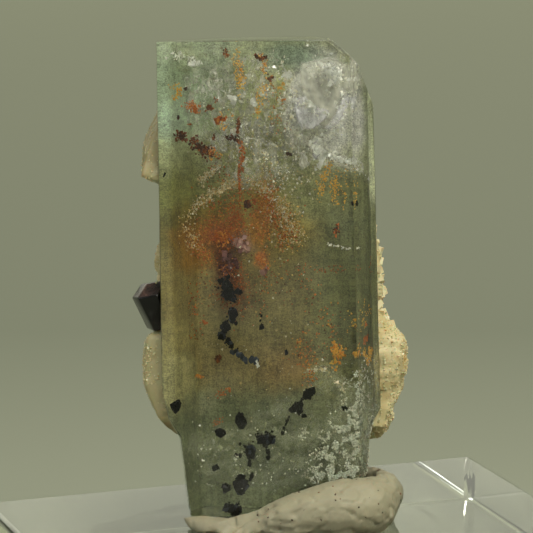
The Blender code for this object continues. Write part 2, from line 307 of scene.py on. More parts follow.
# Each zone: middle (x, z), half size (wide, high) in mm, colour, strength, softness, and how solid it is
heartZones = [
    # the top zone: milky beryl, made paler with painted light for the lit backdrop seen through the upper crystal
    ((0.0, 43.0), (17.0, 14.0), "#92966B", 1.0, 0.22, 0.90),
    ((-7.5, 40.5), (5.0, 6.0), "#83967C", 0.8, 0.6, None),
    ((-5.0, 43.2), (5.4, 1.7), "#A3AD92", 0.7, 0.7, None),
    ((-0.8, 37.6), (3.4, 4.4), "#9DA06E", 0.7, 0.6, None),
    ((-3.3, 39.6), (1.9, 2.2), "#687256", 0.85, 0.7, None),
    ((-8.8, 36.4), (1.8, 1.6), "#9CB098", 0.7, 0.6, None),
    ((5.4, 37.4), (3.5, 5.6), "#DADEB6", 1.0, 0.25, 0.97),
    ((2.4, 42.0), (3.0, 1.4), "#748470", 0.85, 0.6, None),
    ((4.2, 36.8), (2.2, 1.7), "#ECF1D4", 0.9, 0.6, None),
    ((3.9, 34.9), (1.5, 0.8), "#A3A680", 0.6, 0.7, None),
    ((9.4, 37.0), (1.7, 5.5), "#949A7D", 0.9, 0.4, None),
    ((6.8, 31.9), (2.6, 1.4), "#A6AB8C", 0.6, 0.7, None),
    ((-8.2, 29.4), (2.8, 2.2), "#63693A", 0.9, 0.5, None),
    ((-4.6, 32.4), (3.4, 1.6), "#71744A", 0.7, 0.6, None),
    ((-1.8, 33.6), (3.4, 1.5), "#8C8A50", 0.6, 0.7, None),
    ((1.6, 31.4), (3.6, 2.4), "#83865E", 0.7, 0.7, None),
    ((7.4, 26.5), (3.2, 5.0), "#5C6140", 0.9, 0.5, None),
    ((9.8, 30.8), (1.3, 2.6), "#AAB092", 0.85, 0.6, None),
    ((-2.2, 24.0), (6.6, 4.7), "#78641E", 1.0, 0.45, 0.99),
    ((5.0, 21.4), (5.0, 4.2), "#4C4E2C", 0.8, 0.6, None),
    ((-3.0, 29.2), (8.0, 2.0), "#76763E", 0.65, 0.7, None),
    ((-8.0, 18.0), (3.6, 7.6), "#786D3C", 0.9, 0.5, None),
    ((-0.6, 17.0), (5.4, 6.6), "#655D36", 0.9, 0.5, None),
    ((7.4, 17.4), (3.0, 6.5), "#555834", 0.9, 0.5, None),
    ((-6.0, 27.2), (2.6, 1.6), "#6A5C18", 0.8, 0.6, None),
    ((-8.6, 26.0), (1.8, 1.9), "#514C20", 0.8, 0.6, None),
    ((1.6, 26.6), (1.9, 2.5), "#7C7034", 0.8, 0.6, None),
    ((-5.2, 25.4), (3.0, 1.3), "#865812", 0.9, 0.7, None),
    ((-6.8, 23.6), (1.7, 1.2), "#805B14", 0.8, 0.8, None),
    ((-4.4, 25.5), (1.1, 0.7), "#925422", 0.9, 0.8, None),
    ((-3.1, 27.3), (0.7, 0.9), "#8C602C", 0.85, 0.8, None),
    ((-1.5, 28.9), (1.7, 1.3), "#948A44", 0.7, 0.7, None),
    ((3.6, 28.7), (1.6, 1.6), "#7A7E54", 0.7, 0.7, None),
    ((-0.3, 28.4), (0.8, 2.3), "#8E661E", 0.85, 0.8, None),
    ((-0.7, 26.2), (0.7, 1.5), "#865812", 0.8, 0.8, None),
    ((-0.7, 23.3), (0.5, 0.8), "#985C28", 0.9, 0.7, None),
    ((-4.0, 22.8), (1.2, 2.3), "#5C3012", 0.9, 0.6, None),
    ((-3.2, 20.2), (1.4, 1.8), "#6C4C2A", 0.65, 0.8, None),
    ((-2.3, 24.7), (0.9, 0.9), "#8C6650", 0.7, 0.8, None),
    ((-8.8, 15.4), (1.6, 2.0), "#8F8A5C", 0.6, 0.7, None),
    ((-6.2, 15.2), (1.6, 1.7), "#80764A", 0.7, 0.7, None),
    ((-3.0, 13.3), (5.0, 2.6), "#6E6038", 0.6, 0.7, None),
    ((2.0, 12.6), (2.4, 2.0), "#7A5E30", 0.5, 0.9, None),
    ((-8.6, 12.4), (1.7, 2.6), "#8D8A5E", 0.9, 0.25, None),
    ((5.2, 11.9), (1.6, 1.4), "#86845A", 0.8, 0.5, None),
    # the foot zone: painted shade, darker for the shaded putty and block seen through the lower crystal
    ((0.0, 2.4), (16.0, 8.3), "#565B3F", 1.0, 0.22, 0.97),
    ((-6.6, 6.0), (3.0, 3.6), "#646A4C", 0.7, 0.6, None),
    ((-6.4, 9.8), (1.6, 1.1), "#747658", 0.7, 0.6, None),
    ((3.6, 9.5), (1.8, 1.0), "#6E7252", 0.6, 0.7, None),
    ((9.3, 12.4), (1.2, 2.0), "#8A8258", 0.8, 0.5, None),
    ((-4.4, 8.2), (2.2, 1.5), "#565B3C", 0.6, 0.7, None),
    ((0.8, 3.6), (2.8, 2.6), "#4F5A40", 0.7, 0.7, None),
    ((-3.0, 1.0), (4.0, 2.2), "#626849", 0.8, 0.6, None),
    ((8.0, 6.5), (2.4, 4.2), "#74775A", 0.8, 0.4, None),
]


def heartMaterial():
    # Milky beryl full of tubes and healed cracks: dull, streaked along the crystal, rust-stained in the middle, paler
    # at the top with painted light and darker at the foot with painted shade
    material, shader = newMaterial("milky included beryl")
    plain = alongCrystal(material)
    ragged = addNode(material, "ShaderNodeTexNoise", {"Scale": 0.45, "Detail": 8.0, "Roughness": 0.72},
                     {"Vector": plain})
    shift = addNode(material, "ShaderNodeVectorMath", {1: (0.5, 0.5, 0.5)}, {0: ragged.outputs["Color"]},
                    operation="SUBTRACT")
    shift = addNode(material, "ShaderNodeVectorMath", {"Scale": 2 * heart["warp"]}, {0: shift.outputs["Vector"]},
                    operation="SCALE")
    warped = addNode(material, "ShaderNodeVectorMath", links={0: plain, 1: shift.outputs["Vector"]},
                     operation="ADD").outputs["Vector"]
    colour, solid = None, None
    for (x, z), (wide, high), code, strength, soft, cover in heartZones:
        near = addNode(material, "ShaderNodeMapping", {"Location": (-x / wide, 0, -z / high),
                                                       "Scale": (1 / wide, 0, 1 / high)}, {"Vector": warped})
        reach = addNode(material, "ShaderNodeVectorMath", links={0: near.outputs["Vector"]}, operation="LENGTH")
        mask = addNode(material, "ShaderNodeMapRange", {"From Min": 1 + soft, "From Max": 1 - soft,
                                                        "To Max": strength},
                       {"Value": reach.outputs["Value"]}, interpolation_type="SMOOTHSTEP").outputs["Result"]
        mix = addNode(material, "ShaderNodeMix", {6: insideColour(heart["base"]), 7: insideColour(code)},
                      {0: mask}, data_type="RGBA")
        if colour:
            material.node_tree.links.new(colour, mix.inputs[6])
        colour = mix.outputs[2]
        if cover:
            part = addNode(material, "ShaderNodeMix", {2: 0.98, 3: cover}, {0: mask}, data_type="FLOAT")
            if solid:
                material.node_tree.links.new(solid, part.inputs[2])
            solid = part.outputs[0]
    # growth streaks fade out in the top third, where wisps take over; fine grain is everywhere
    streaks = addNode(material, "ShaderNodeTexNoise", {"Scale": 1.0, "Detail": 4.0, "Roughness": 0.65},
                      {"Vector": alongCrystal(material, (3.0, 1.0, 0.3))})
    wisps = addNode(material, "ShaderNodeTexNoise", {"Scale": 0.5, "Detail": 5.0, "Roughness": 0.7,
                                                     "Distortion": 0.8}, {"Vector": plain})
    grain = addNode(material, "ShaderNodeTexNoise", {"Scale": 2.2, "Detail": 4.0, "Roughness": 0.75},
                    {"Vector": plain})
    crisp = addNode(material, "ShaderNodeTexNoise", {"Scale": 8.0, "Detail": 2.0, "Roughness": 0.6},
                    {"Vector": plain})
    height = addNode(material, "ShaderNodeSeparateXYZ", links={"Vector": plain})
    streaked = addNode(material, "ShaderNodeMapRange", {"From Min": 26.0, "From Max": 32.0, "To Min": 0.95,
                                                        "To Max": 0.4}, {"Value": height.outputs["Z"]})
    tone = addNode(material, "ShaderNodeMath", {2: -0.05}, {0: grain.outputs["Fac"], 1: grain.outputs["Fac"]},
                   operation="MULTIPLY_ADD")
    bands = addNode(material, "ShaderNodeTexNoise", {"Scale": 1.0, "Detail": 5.0, "Roughness": 0.7},
                    {"Vector": alongCrystal(material, (0.6, 1.0, 2.6))})
    for texture, weight in ((streaks, streaked.outputs["Result"]), (wisps, 1.2), (crisp, 1.9), (bands, 0.8)):
        centred = addNode(material, "ShaderNodeMath", {1: 0.5}, {0: texture.outputs["Fac"]}, operation="SUBTRACT")
        tone = addNode(material, "ShaderNodeMath", links={0: centred.outputs["Value"], 2: tone.outputs["Value"]},
                       operation="MULTIPLY_ADD")
        if texture is streaks:
            material.node_tree.links.new(weight, tone.inputs[1])
        else:
            tone.inputs[1].default_value = weight
    light = addNode(material, "ShaderNodeMapRange", {"From Min": -0.25, "From Max": 0.65, "To Min": 0.5,
                                                     "To Max": 1.55}, {"Value": tone.outputs["Value"]})
    final = addNode(material, "ShaderNodeVectorMath", links={0: colour}, operation="SCALE")
    material.node_tree.links.new(light.outputs["Result"], final.inputs["Scale"])
    bump = addNode(material, "ShaderNodeBump", {"Strength": 0.8, "Distance": 0.12 * mm},
                   {"Height": grain.outputs["Fac"]})
    linkTo(material, shader, Base_Color=final.outputs["Vector"], Alpha=solid, Normal=bump.outputs["Normal"])
    shader.inputs["Roughness"].default_value = 0.42
    return material


def heartFront(x):
    return max(heart["least"], min(heart["clear"], crystalDepthAt(x) - heart["behind"]))


def heartRule(point, normal):
    # the cloudy front is uneven, but only where there is clear beryl in front of it
    room = min(1.0, max(0.0, heartFront(point.x) - heart["least"]) / 2.0)
    if normal.y > -0.5:
        room = 0.0
    return room * (0.30 * fractal((point.x, point.y, point.z * 0.5), 3.0, 4, 3.3) - 0.1)


def makeHeart(material, crystal):
    piece = bpy.data.objects.new("cloudyHeart", crystal.data.copy())
    bpy.context.collection.objects.link(piece)
    moveVerts(piece, lambda p, n: -heart["inset"])
    for vert in piece.data.vertices:
        at = specimenPlaceBack @ vert.co
        at.y = max(at.y, heartFront(at.x))
        vert.co = place(*at)
    showOnly(piece)
    bpy.ops.object.mode_set(mode="EDIT")
    bpy.ops.mesh.select_all(action="SELECT")
    bpy.ops.mesh.remove_doubles(threshold=0.02 * mm)
    bpy.ops.object.mode_set(mode="OBJECT")
    moveVerts(piece, heartRule)
    shade(piece, 60)
    finish(piece, material)
    print("heart:", len(piece.data.polygons), "faces")


# Mesh helpers

def showOnly(piece):
    bpy.ops.object.select_all(action="DESELECT")
    piece.select_set(True)
    bpy.context.view_layer.objects.active = piece


def copyNode(node, name):
    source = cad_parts[node]
    piece = source.copy()
    piece.data = source.data.copy()
    piece.name = name
    piece.parent = None
    piece.matrix_world = Matrix.Identity(4)
    piece.data.materials.clear()
    bpy.context.collection.objects.link(piece)
    piece.hide_viewport = piece.hide_render = False
    piece.hide_set(False)
    showOnly(piece)
    bpy.ops.object.mode_set(mode="EDIT")
    bpy.ops.mesh.select_all(action="SELECT")
    bpy.ops.mesh.remove_doubles(threshold=0.002 * mm)
    bpy.ops.mesh.dissolve_limited(angle_limit=math.radians(0.6))
    bpy.ops.object.mode_set(mode="OBJECT")
    return piece


def voxelRemesh(piece, size):
    showOnly(piece)
    piece.data.remesh_voxel_size = size * mm
    bpy.ops.object.voxel_remesh()


def shade(piece, angle):
    showOnly(piece)
    bpy.ops.object.shade_smooth_by_angle(angle=math.radians(angle))


def finish(piece, material, node=None):
    piece.data.materials.clear()
    piece.data.materials.append(material)
    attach(piece, "root")
    if node:
        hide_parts(node)


def moveVerts(piece, rule):
    # moves each point by rule(place in specimen millimetres, normal), in millimetres along its normal.
    mesh = piece.data
    normals = [v.normal.copy() for v in mesh.vertices]
    for vert, normal in zip(mesh.vertices, normals):
        amount = rule(specimenPlaceBack @ vert.co, normal)
        vert.co += normal * amount * mm
    mesh.update()


def fractal(point, size, octaves=3, seed=0.0):
    # noise between about -1 and 1 whose broadest bumps are size millimetres.
    at = Vector(point) / size + Vector((seed, seed * 1.7, -seed))
    total, weight = 0.0, 1.0
    for _ in range(octaves):
        total += weight * noise.noise(at)
        at *= 2.1
        weight *= 0.5
    return total


def clearance(tree, point):
    # how deep a point is inside the crystal, in millimetres
    hit, normal, _, distance = tree.find_nearest(point)
    return (hit - point).dot(normal) / mm


def growOnto(piece, tree, reach, sink):
    # pulls points near the crystal onto it. Sunk points show through it, as grown contact does.
    for vert in piece.data.vertices:
        hit, normal, _, distance = tree.find_nearest(vert.co)
        if distance < reach * mm:
            vert.co = hit - normal * sink * mm
    piece.data.update()


# The crystal

crystalRelief = {
    "edge": 0.10,             # eased edges, mm
    "across": 0.35,           # grid for the relief, mm
    "along": 0.55,
    "striae": 0.004,          # height of the growth lines, mm
    "swell": 0.02,
    "etched": 0.05,           # roughness of the broken lower end
    "etchedBelow": 9.5,
}


def slicePiece(piece, normal, positions):
    # cuts a grid into the mesh without taking anything away.
    showOnly(piece)
    bpy.ops.object.mode_set(mode="EDIT")
    direction = (specimenTurn @ Vector((*normal, 0))).to_3d()
    for position in positions:
        bpy.ops.mesh.select_all(action="SELECT")
        bpy.ops.mesh.bisect(plane_co=place(*[n * position for n in normal]), plane_no=direction)
    bpy.ops.object.mode_set(mode="OBJECT")


def steps(start, stop, stride):
    count = int((stop - start) / stride)
    return [start + stride * index for index in range(count + 1)]


def crystalRule(point, normal):
    relief = crystalRelief
    striae = fractal((point.x * 1.0, point.y * 1.0, point.z * 0.03), 0.55, 2, 3.1) * relief["striae"]
    swell = fractal(point, 5.5, 2, 7.7) * relief["swell"]
    low = min(1.0, max(0.0, (relief["etchedBelow"] - point.z) / 4.0))
    etched = fractal(point, 1.1, 3, 1.3) * relief["etched"] * low
    return striae + swell + etched


def makeCrystal(material):
    crystal = copyNode("aquamarine", "aquamarineCrystal")
    showOnly(crystal)
    bpy.ops.object.mode_set(mode="EDIT")
    bpy.ops.mesh.select_all(action="SELECT")
    bpy.ops.mesh.bevel(offset=crystalRelief["edge"] * mm, segments=2, affect="EDGES")
    bpy.ops.object.mode_set(mode="OBJECT")
    slicePiece(crystal, (1, 0, 0), steps(-9.9, 9.9, crystalRelief["across"]))
    slicePiece(crystal, (0, 1, 0), steps(0.6, 12.2, 0.7))
    slicePiece(crystal, (0, 0, 1), steps(-0.8, 43.3, crystalRelief["along"]))
    moveVerts(crystal, crystalRule)
    shade(crystal, 14)
    finish(crystal, material, "aquamarine")
    print("crystal:", len(crystal.data.polygons), "faces")
    return crystal


def crystalTree(crystal):
    bm = bmesh.new()
    bm.from_mesh(crystal.data)
    tree = BVHTree.FromBMesh(bm)
    bm.free()
    return tree


# Matrix, feldspar, schorl, fluorite

def makeAlbite(material, tree):
    albite = copyNode("albite_matrix", "albiteMatrix")
    voxelRemesh(albite, 0.32)
    growOnto(albite, tree, 1.15, -0.03)
    moveVerts(albite, lambda p, n: 0.34 * fractal(p, 1.5, 3, 2.2) + 0.05 * fractal(p, 0.45, 2, 5.0))
    shade(albite, 40)
    finish(albite, material, "albite_matrix")
    print("albite:", len(albite.data.polygons), "faces")
    return albite


def makeFeldspar(node, name, material, tree, seed):
    piece = copyNode(node, name)
    voxelRemesh(piece, 0.25)
    bpy.ops.object.mode_set(mode="EDIT")
    bpy.ops.mesh.select_all(action="SELECT")
    bpy.ops.mesh.vertices_smooth(factor=0.5, repeat=9)
    bpy.ops.object.mode_set(mode="OBJECT")
    moveVerts(piece, lambda p, n: 0.14 * fractal(p, 2.2, 3, seed) + 0.03 * fractal(p, 0.5, 2, seed))
    growOnto(piece, tree, 0.75, -0.03)
    shade(piece, 35)
    finish(piece, material, node)
    return piece


def makeSchorl(material, worn):
    piece = copyNode("schorl_prism", "schorlPrism")
    showOnly(piece)
    bpy.ops.object.mode_set(mode="EDIT")
    bpy.ops.mesh.select_all(action="SELECT")
    bpy.ops.mesh.bevel(offset=0.12 * mm, segments=2, affect="EDGES")
    bpy.ops.object.mode_set(mode="OBJECT")
    shade(piece, 25)
    finish(piece, material, "schorl_prism")
    # the upper left facet is worn and brown
    piece.data.materials.append(worn)
    for face in piece.data.polygons:
        at = specimenPlaceBack @ face.center
        if face.normal.x < -0.2 and face.normal.z > 0.4 and at.z > 20.2:
            face.material_index = 1
    return piece


def makeFluorite(material, tree):
    piece = copyNode("fluorite_cluster", "fluoriteCluster")
    showOnly(piece)
    bpy.ops.object.mode_set(mode="EDIT")
    bpy.ops.mesh.select_all(action="SELECT")
    bpy.ops.mesh.bevel(offset=0.06 * mm, segments=2, affect="EDGES")
    bpy.ops.object.mode_set(mode="OBJECT")
    growOnto(piece, tree, 1.7, 0.06)
    shade(piece, 20)
    finish(piece, material, "fluorite_cluster")


# Grains, flakes and veils sealed in the crystal

def modelOnce(kind):
    # one grain of each kind is modelled here, and its shape is then copied many times into one mesh
    if kind == "slab":
        bpy.ops.mesh.primitive_cylinder_add(vertices=7, radius=1.0, depth=2.0, rotation=(math.pi / 2, 0, 0))
    else:
        bpy.ops.mesh.primitive_cube_add(size=2.0)
    grain = bpy.context.object
    bpy.ops.object.transform_apply(rotation=True)
    if kind == "shard":
        for vert in grain.data.vertices:
            if vert.co.z > 0:
                vert.co = (vert.co.x * 0.35, vert.co.y * 0.5, vert.co.z * 1.1)
    corners = [vert.co.copy() for vert in grain.data.vertices]
    faces = [tuple(face.vertices) for face in grain.data.polygons]
    bpy.data.objects.remove(grain)
    return corners, faces


grainKinds = {kind: modelOnce(kind) for kind in ("shard", "slab", "sugar")}


def alongPath(path, share):
    if len(path) == 1:
        return path[0]
    reach = share * (len(path) - 1)
    index = min(int(reach), len(path) - 2)
    (x0, z0), (x1, z1) = path[index], path[index + 1]
    t = reach - index
    return x0 + (x1 - x0) * t, z0 + (z1 - z0) * t


def crystalDepthAt(x):
    # how deep the crystal is behind a point of its broad face
    left = 0.45 + (x + 10.05) * math.tan(math.radians(60))
    right = 3.7 + (10.1 - x) * math.tan(math.radians(60))
    return min(left, right, specimen["depth"])


def crystalFrontAt(x):
    return max(0.0, (x - specimen["frontRight"]) * math.tan(math.radians(60)))


def newGrains(kind, seed, look):
    return {"shape": grainKinds[kind], "look": look, "rng": random.Random(seed),
            "points": [], "polygons": [], "shades": []}


def addGrain(grains, middle, turn, size, shade):
    corners, faces = grains["shape"]
    look, rng = grains["look"], grains["rng"]
    start = len(grains["points"])
    tumble = Euler([rng.gauss(0, look["tumble"]) for _ in range(3)]).to_matrix()
    for corner in corners:
        wobble = [c * rng.uniform(1 - look["ragged"], 1 + look["ragged"]) for c in corner]
        local = turn @ tumble @ Vector((wobble[0], wobble[1] * look["flat"], wobble[2] * look["tall"])) * size
        grains["points"].append(middle + local * mm)
    grains["polygons"].extend(tuple(start + index for index in face) for face in faces)
    grains["shades"].extend([shade] * len(corners))


def buildGrains(grains, name, material):
    mesh = bpy.data.meshes.new(name)
    mesh.from_pydata(grains["points"], [], grains["polygons"])
    layer = mesh.attributes.new("shade", "FLOAT", "POINT")
    layer.data.foreach_set("value", grains["shades"])
    piece = bpy.data.objects.new(name, mesh)
    bpy.context.collection.objects.link(piece)
    finish(piece, material)
    print(name + ":", len(grains["polygons"]), "faces")


def scatterGrains(name, kind, rows, seed, look, material, tree):
    # each row: path (x, z), depth, spread (across, along), how many, size (least, most), shade (least, most)
    grains = newGrains(kind, seed, look)
    rng = grains["rng"]
    upright = specimenTurn.to_3x3()
    for path, depth, (wide, high), count, size, shade in rows:
        clumps = [(rng.gauss(0, 1), rng.gauss(0, 1), rng.gauss(0, 1)) for _ in range(max(3, count // look["clump"]))]
        for _ in range(count):
            x, z = alongPath(path, rng.random())
            clump = rng.choice(clumps)
            x += (clump[0] + rng.gauss(0, 0.45)) * wide * 0.7
            z += (clump[2] + rng.gauss(0, 0.45)) * high * 0.7
            y = depth + (clump[1] + rng.gauss(0, 0.45)) * look["deep"]
            front, rear = crystalFrontAt(x) + look["shallowest"], crystalDepthAt(x) - 0.35
            if front > rear or not -0.6 < z < 43.0:
                continue
            y = min(max(y, front), rear)
            if look["lace"] and fractal((x, y, z), look["lace"], 2, 6.6) < 0.02:
                continue
            shallowest, deepest = look["within"]
            if shallowest < clearance(tree, place(x, y, z)) < deepest:
                addGrain(grains, place(x, y, z), upright, rng.uniform(*size) / 2, rng.uniform(*shade))
    buildGrains(grains, name, material)


def sprinkleGrains(name, piece, kind, count, seed, look, size, shadeOf, material):
    # grains grown over another piece's surface; shadeOf gives each its shade, or None for no grain there
    grains = newGrains(kind, seed, look)
    rng = grains["rng"]
    mesh = piece.data
    faces = rng.choices(range(len(mesh.polygons)), [face.area for face in mesh.polygons], k=count)
    for index in faces:
        face = mesh.polygons[index]
        at = specimenPlaceBack @ face.center
        shade = shadeOf(at, rng)
        if shade is None:
            continue
        amount = rng.uniform(*size) / 2
        middle = face.center - face.normal * amount * look["sunk"] * mm
        addGrain(grains, middle, Matrix.Identity(3), amount, shade)
    buildGrains(grains, name, material)


def newVeil(name, cells):
    bpy.ops.mesh.primitive_grid_add(x_subdivisions=cells, y_subdivisions=cells, size=2.0)
    veil = bpy.context.object
    veil.name = name
    return veil


def sealVeil(veil, cover, material, tree):
    # the bare and outlying parts go, and the rest becomes a thin piece
    layer = veil.data.attributes.new("cover", "FLOAT", "POINT")
    layer.data.foreach_set("value", cover)
    showOnly(veil)
    bpy.ops.object.mode_set(mode="EDIT")
    bpy.ops.mesh.select_all(action="DESELECT")
    bpy.ops.object.mode_set(mode="OBJECT")
    for vert, amount in zip(veil.data.vertices, cover):
        vert.select = amount <= 0 or clearance(tree, vert.co) < 0.15
    bpy.ops.object.mode_set(mode="EDIT")
    bpy.ops.mesh.delete(type="VERT")
    bpy.ops.object.mode_set(mode="OBJECT")
    solid = veil.modifiers.new("thickness", "SOLIDIFY")
    solid.thickness = 0.015 * mm
    bpy.ops.object.modifier_apply(modifier=solid.name)
    shade(veil, 60)
    finish(veil, material)


def keepInside(x, y):
    return min(max(y, crystalFrontAt(x) + 0.2), max(0.25, crystalDepthAt(x) - 0.3))


def addVeil(name, middle, half, turns, bow, ripple, seed, crinkle, material, tree):
    # a thin curved sheet inside the crystal, ragged and fading at its rim
    veil = newVeil(name, 60)
    turn = Euler([math.radians(a) for a in turns]).to_matrix()
    cover = []
    for vert in veil.data.vertices:
        u, v = vert.co.x, vert.co.y
        reach = math.hypot(u, v) * (1 + 0.35 * fractal((u * 2, v * 2, seed), 1.0, 2))
        cover.append(max(0.0, min(1.0, (1.0 - reach) * 2.2)))
        out = bow * (u * u + v * v) + ripple * fractal((u * 3, v * 3, seed), 1.0, 3, 2.0)
        out += crinkle * abs(fractal((u * half[0], v * half[1], seed), 0.8, 3, 4.0))
        local = turn @ Vector((u * half[0], out, v * half[1]))
        x, z = middle[0] + local.x, middle[2] + local.z
        vert.co = place(x, keepInside(x, middle[1] + local.y), z)
    sealVeil(veil, cover, material, tree)


def outlineDepth(x, z, outline):
    # distance to a closed outline, positive inside it
    inside, nearest = False, 100.0
    for (x0, z0), (x1, z1) in zip(outline, outline[1:] + outline[:1]):
        if (z0 > z) != (z1 > z) and x < x0 + (z - z0) * (x1 - x0) / (z1 - z0):
            inside = not inside
        length = (x1 - x0) ** 2 + (z1 - z0) ** 2
        t = min(1.0, max(0.0, ((x - x0) * (x1 - x0) + (z - z0) * (z1 - z0)) / length))
        nearest = min(nearest, math.hypot(x - x0 - t * (x1 - x0), z - z0 - t * (z1 - z0)))
    return nearest if inside else -nearest


def addShell(name, outline, depth, slope, bow, soft, seed, material, tree):
    # a shell-like crack with a clean outline; slope is how much deeper it gets per millimetre right and up
    xs, zs = [x for x, z in outline], [z for x, z in outline]
    middleX, middleZ = (min(xs) + max(xs)) / 2, (min(zs) + max(zs)) / 2
    halfX, halfZ = (max(xs) - min(xs)) / 2 + 0.1, (max(zs) - min(zs)) / 2 + 0.1
    veil = newVeil(name, 70)
    cover = []
    for vert in veil.data.vertices:
        u, v = vert.co.x, vert.co.y
        x, z = middleX + u * halfX, middleZ + v * halfZ
        edge = outlineDepth(x, z, outline) + 0.12 * fractal((x, z, seed), 0.7, 2)
        ridges = 0.8 + 0.2 * math.sin(edge * 6.0 + 1.5 * fractal((x, z, seed), 1.5, 2))
        cover.append(ridges * min(1.0, max(0.0, edge / soft)))
        y = depth + slope[0] * (x - middleX) + slope[1] * (z - middleZ) + bow * (u * u + v * v)
        y += 0.22 * fractal((x, z * 0.7, seed), 1.2, 4)
        vert.co = place(x, keepInside(x, y), z)
    sealVeil(veil, cover, material, tree)


# Iron oxide: shade 0 is ochre yellow, 0.35 orange, 0.65 red-brown, 1 nearly black
ochre, orange, rust, darkRed, nearBlack = (0.0, 0.22), (0.22, 0.5), (0.45, 0.7), (0.65, 0.88), (0.9, 1.0)
fine, middling, coarse = (0.07, 0.16), (0.12, 0.26), (0.2, 0.42)

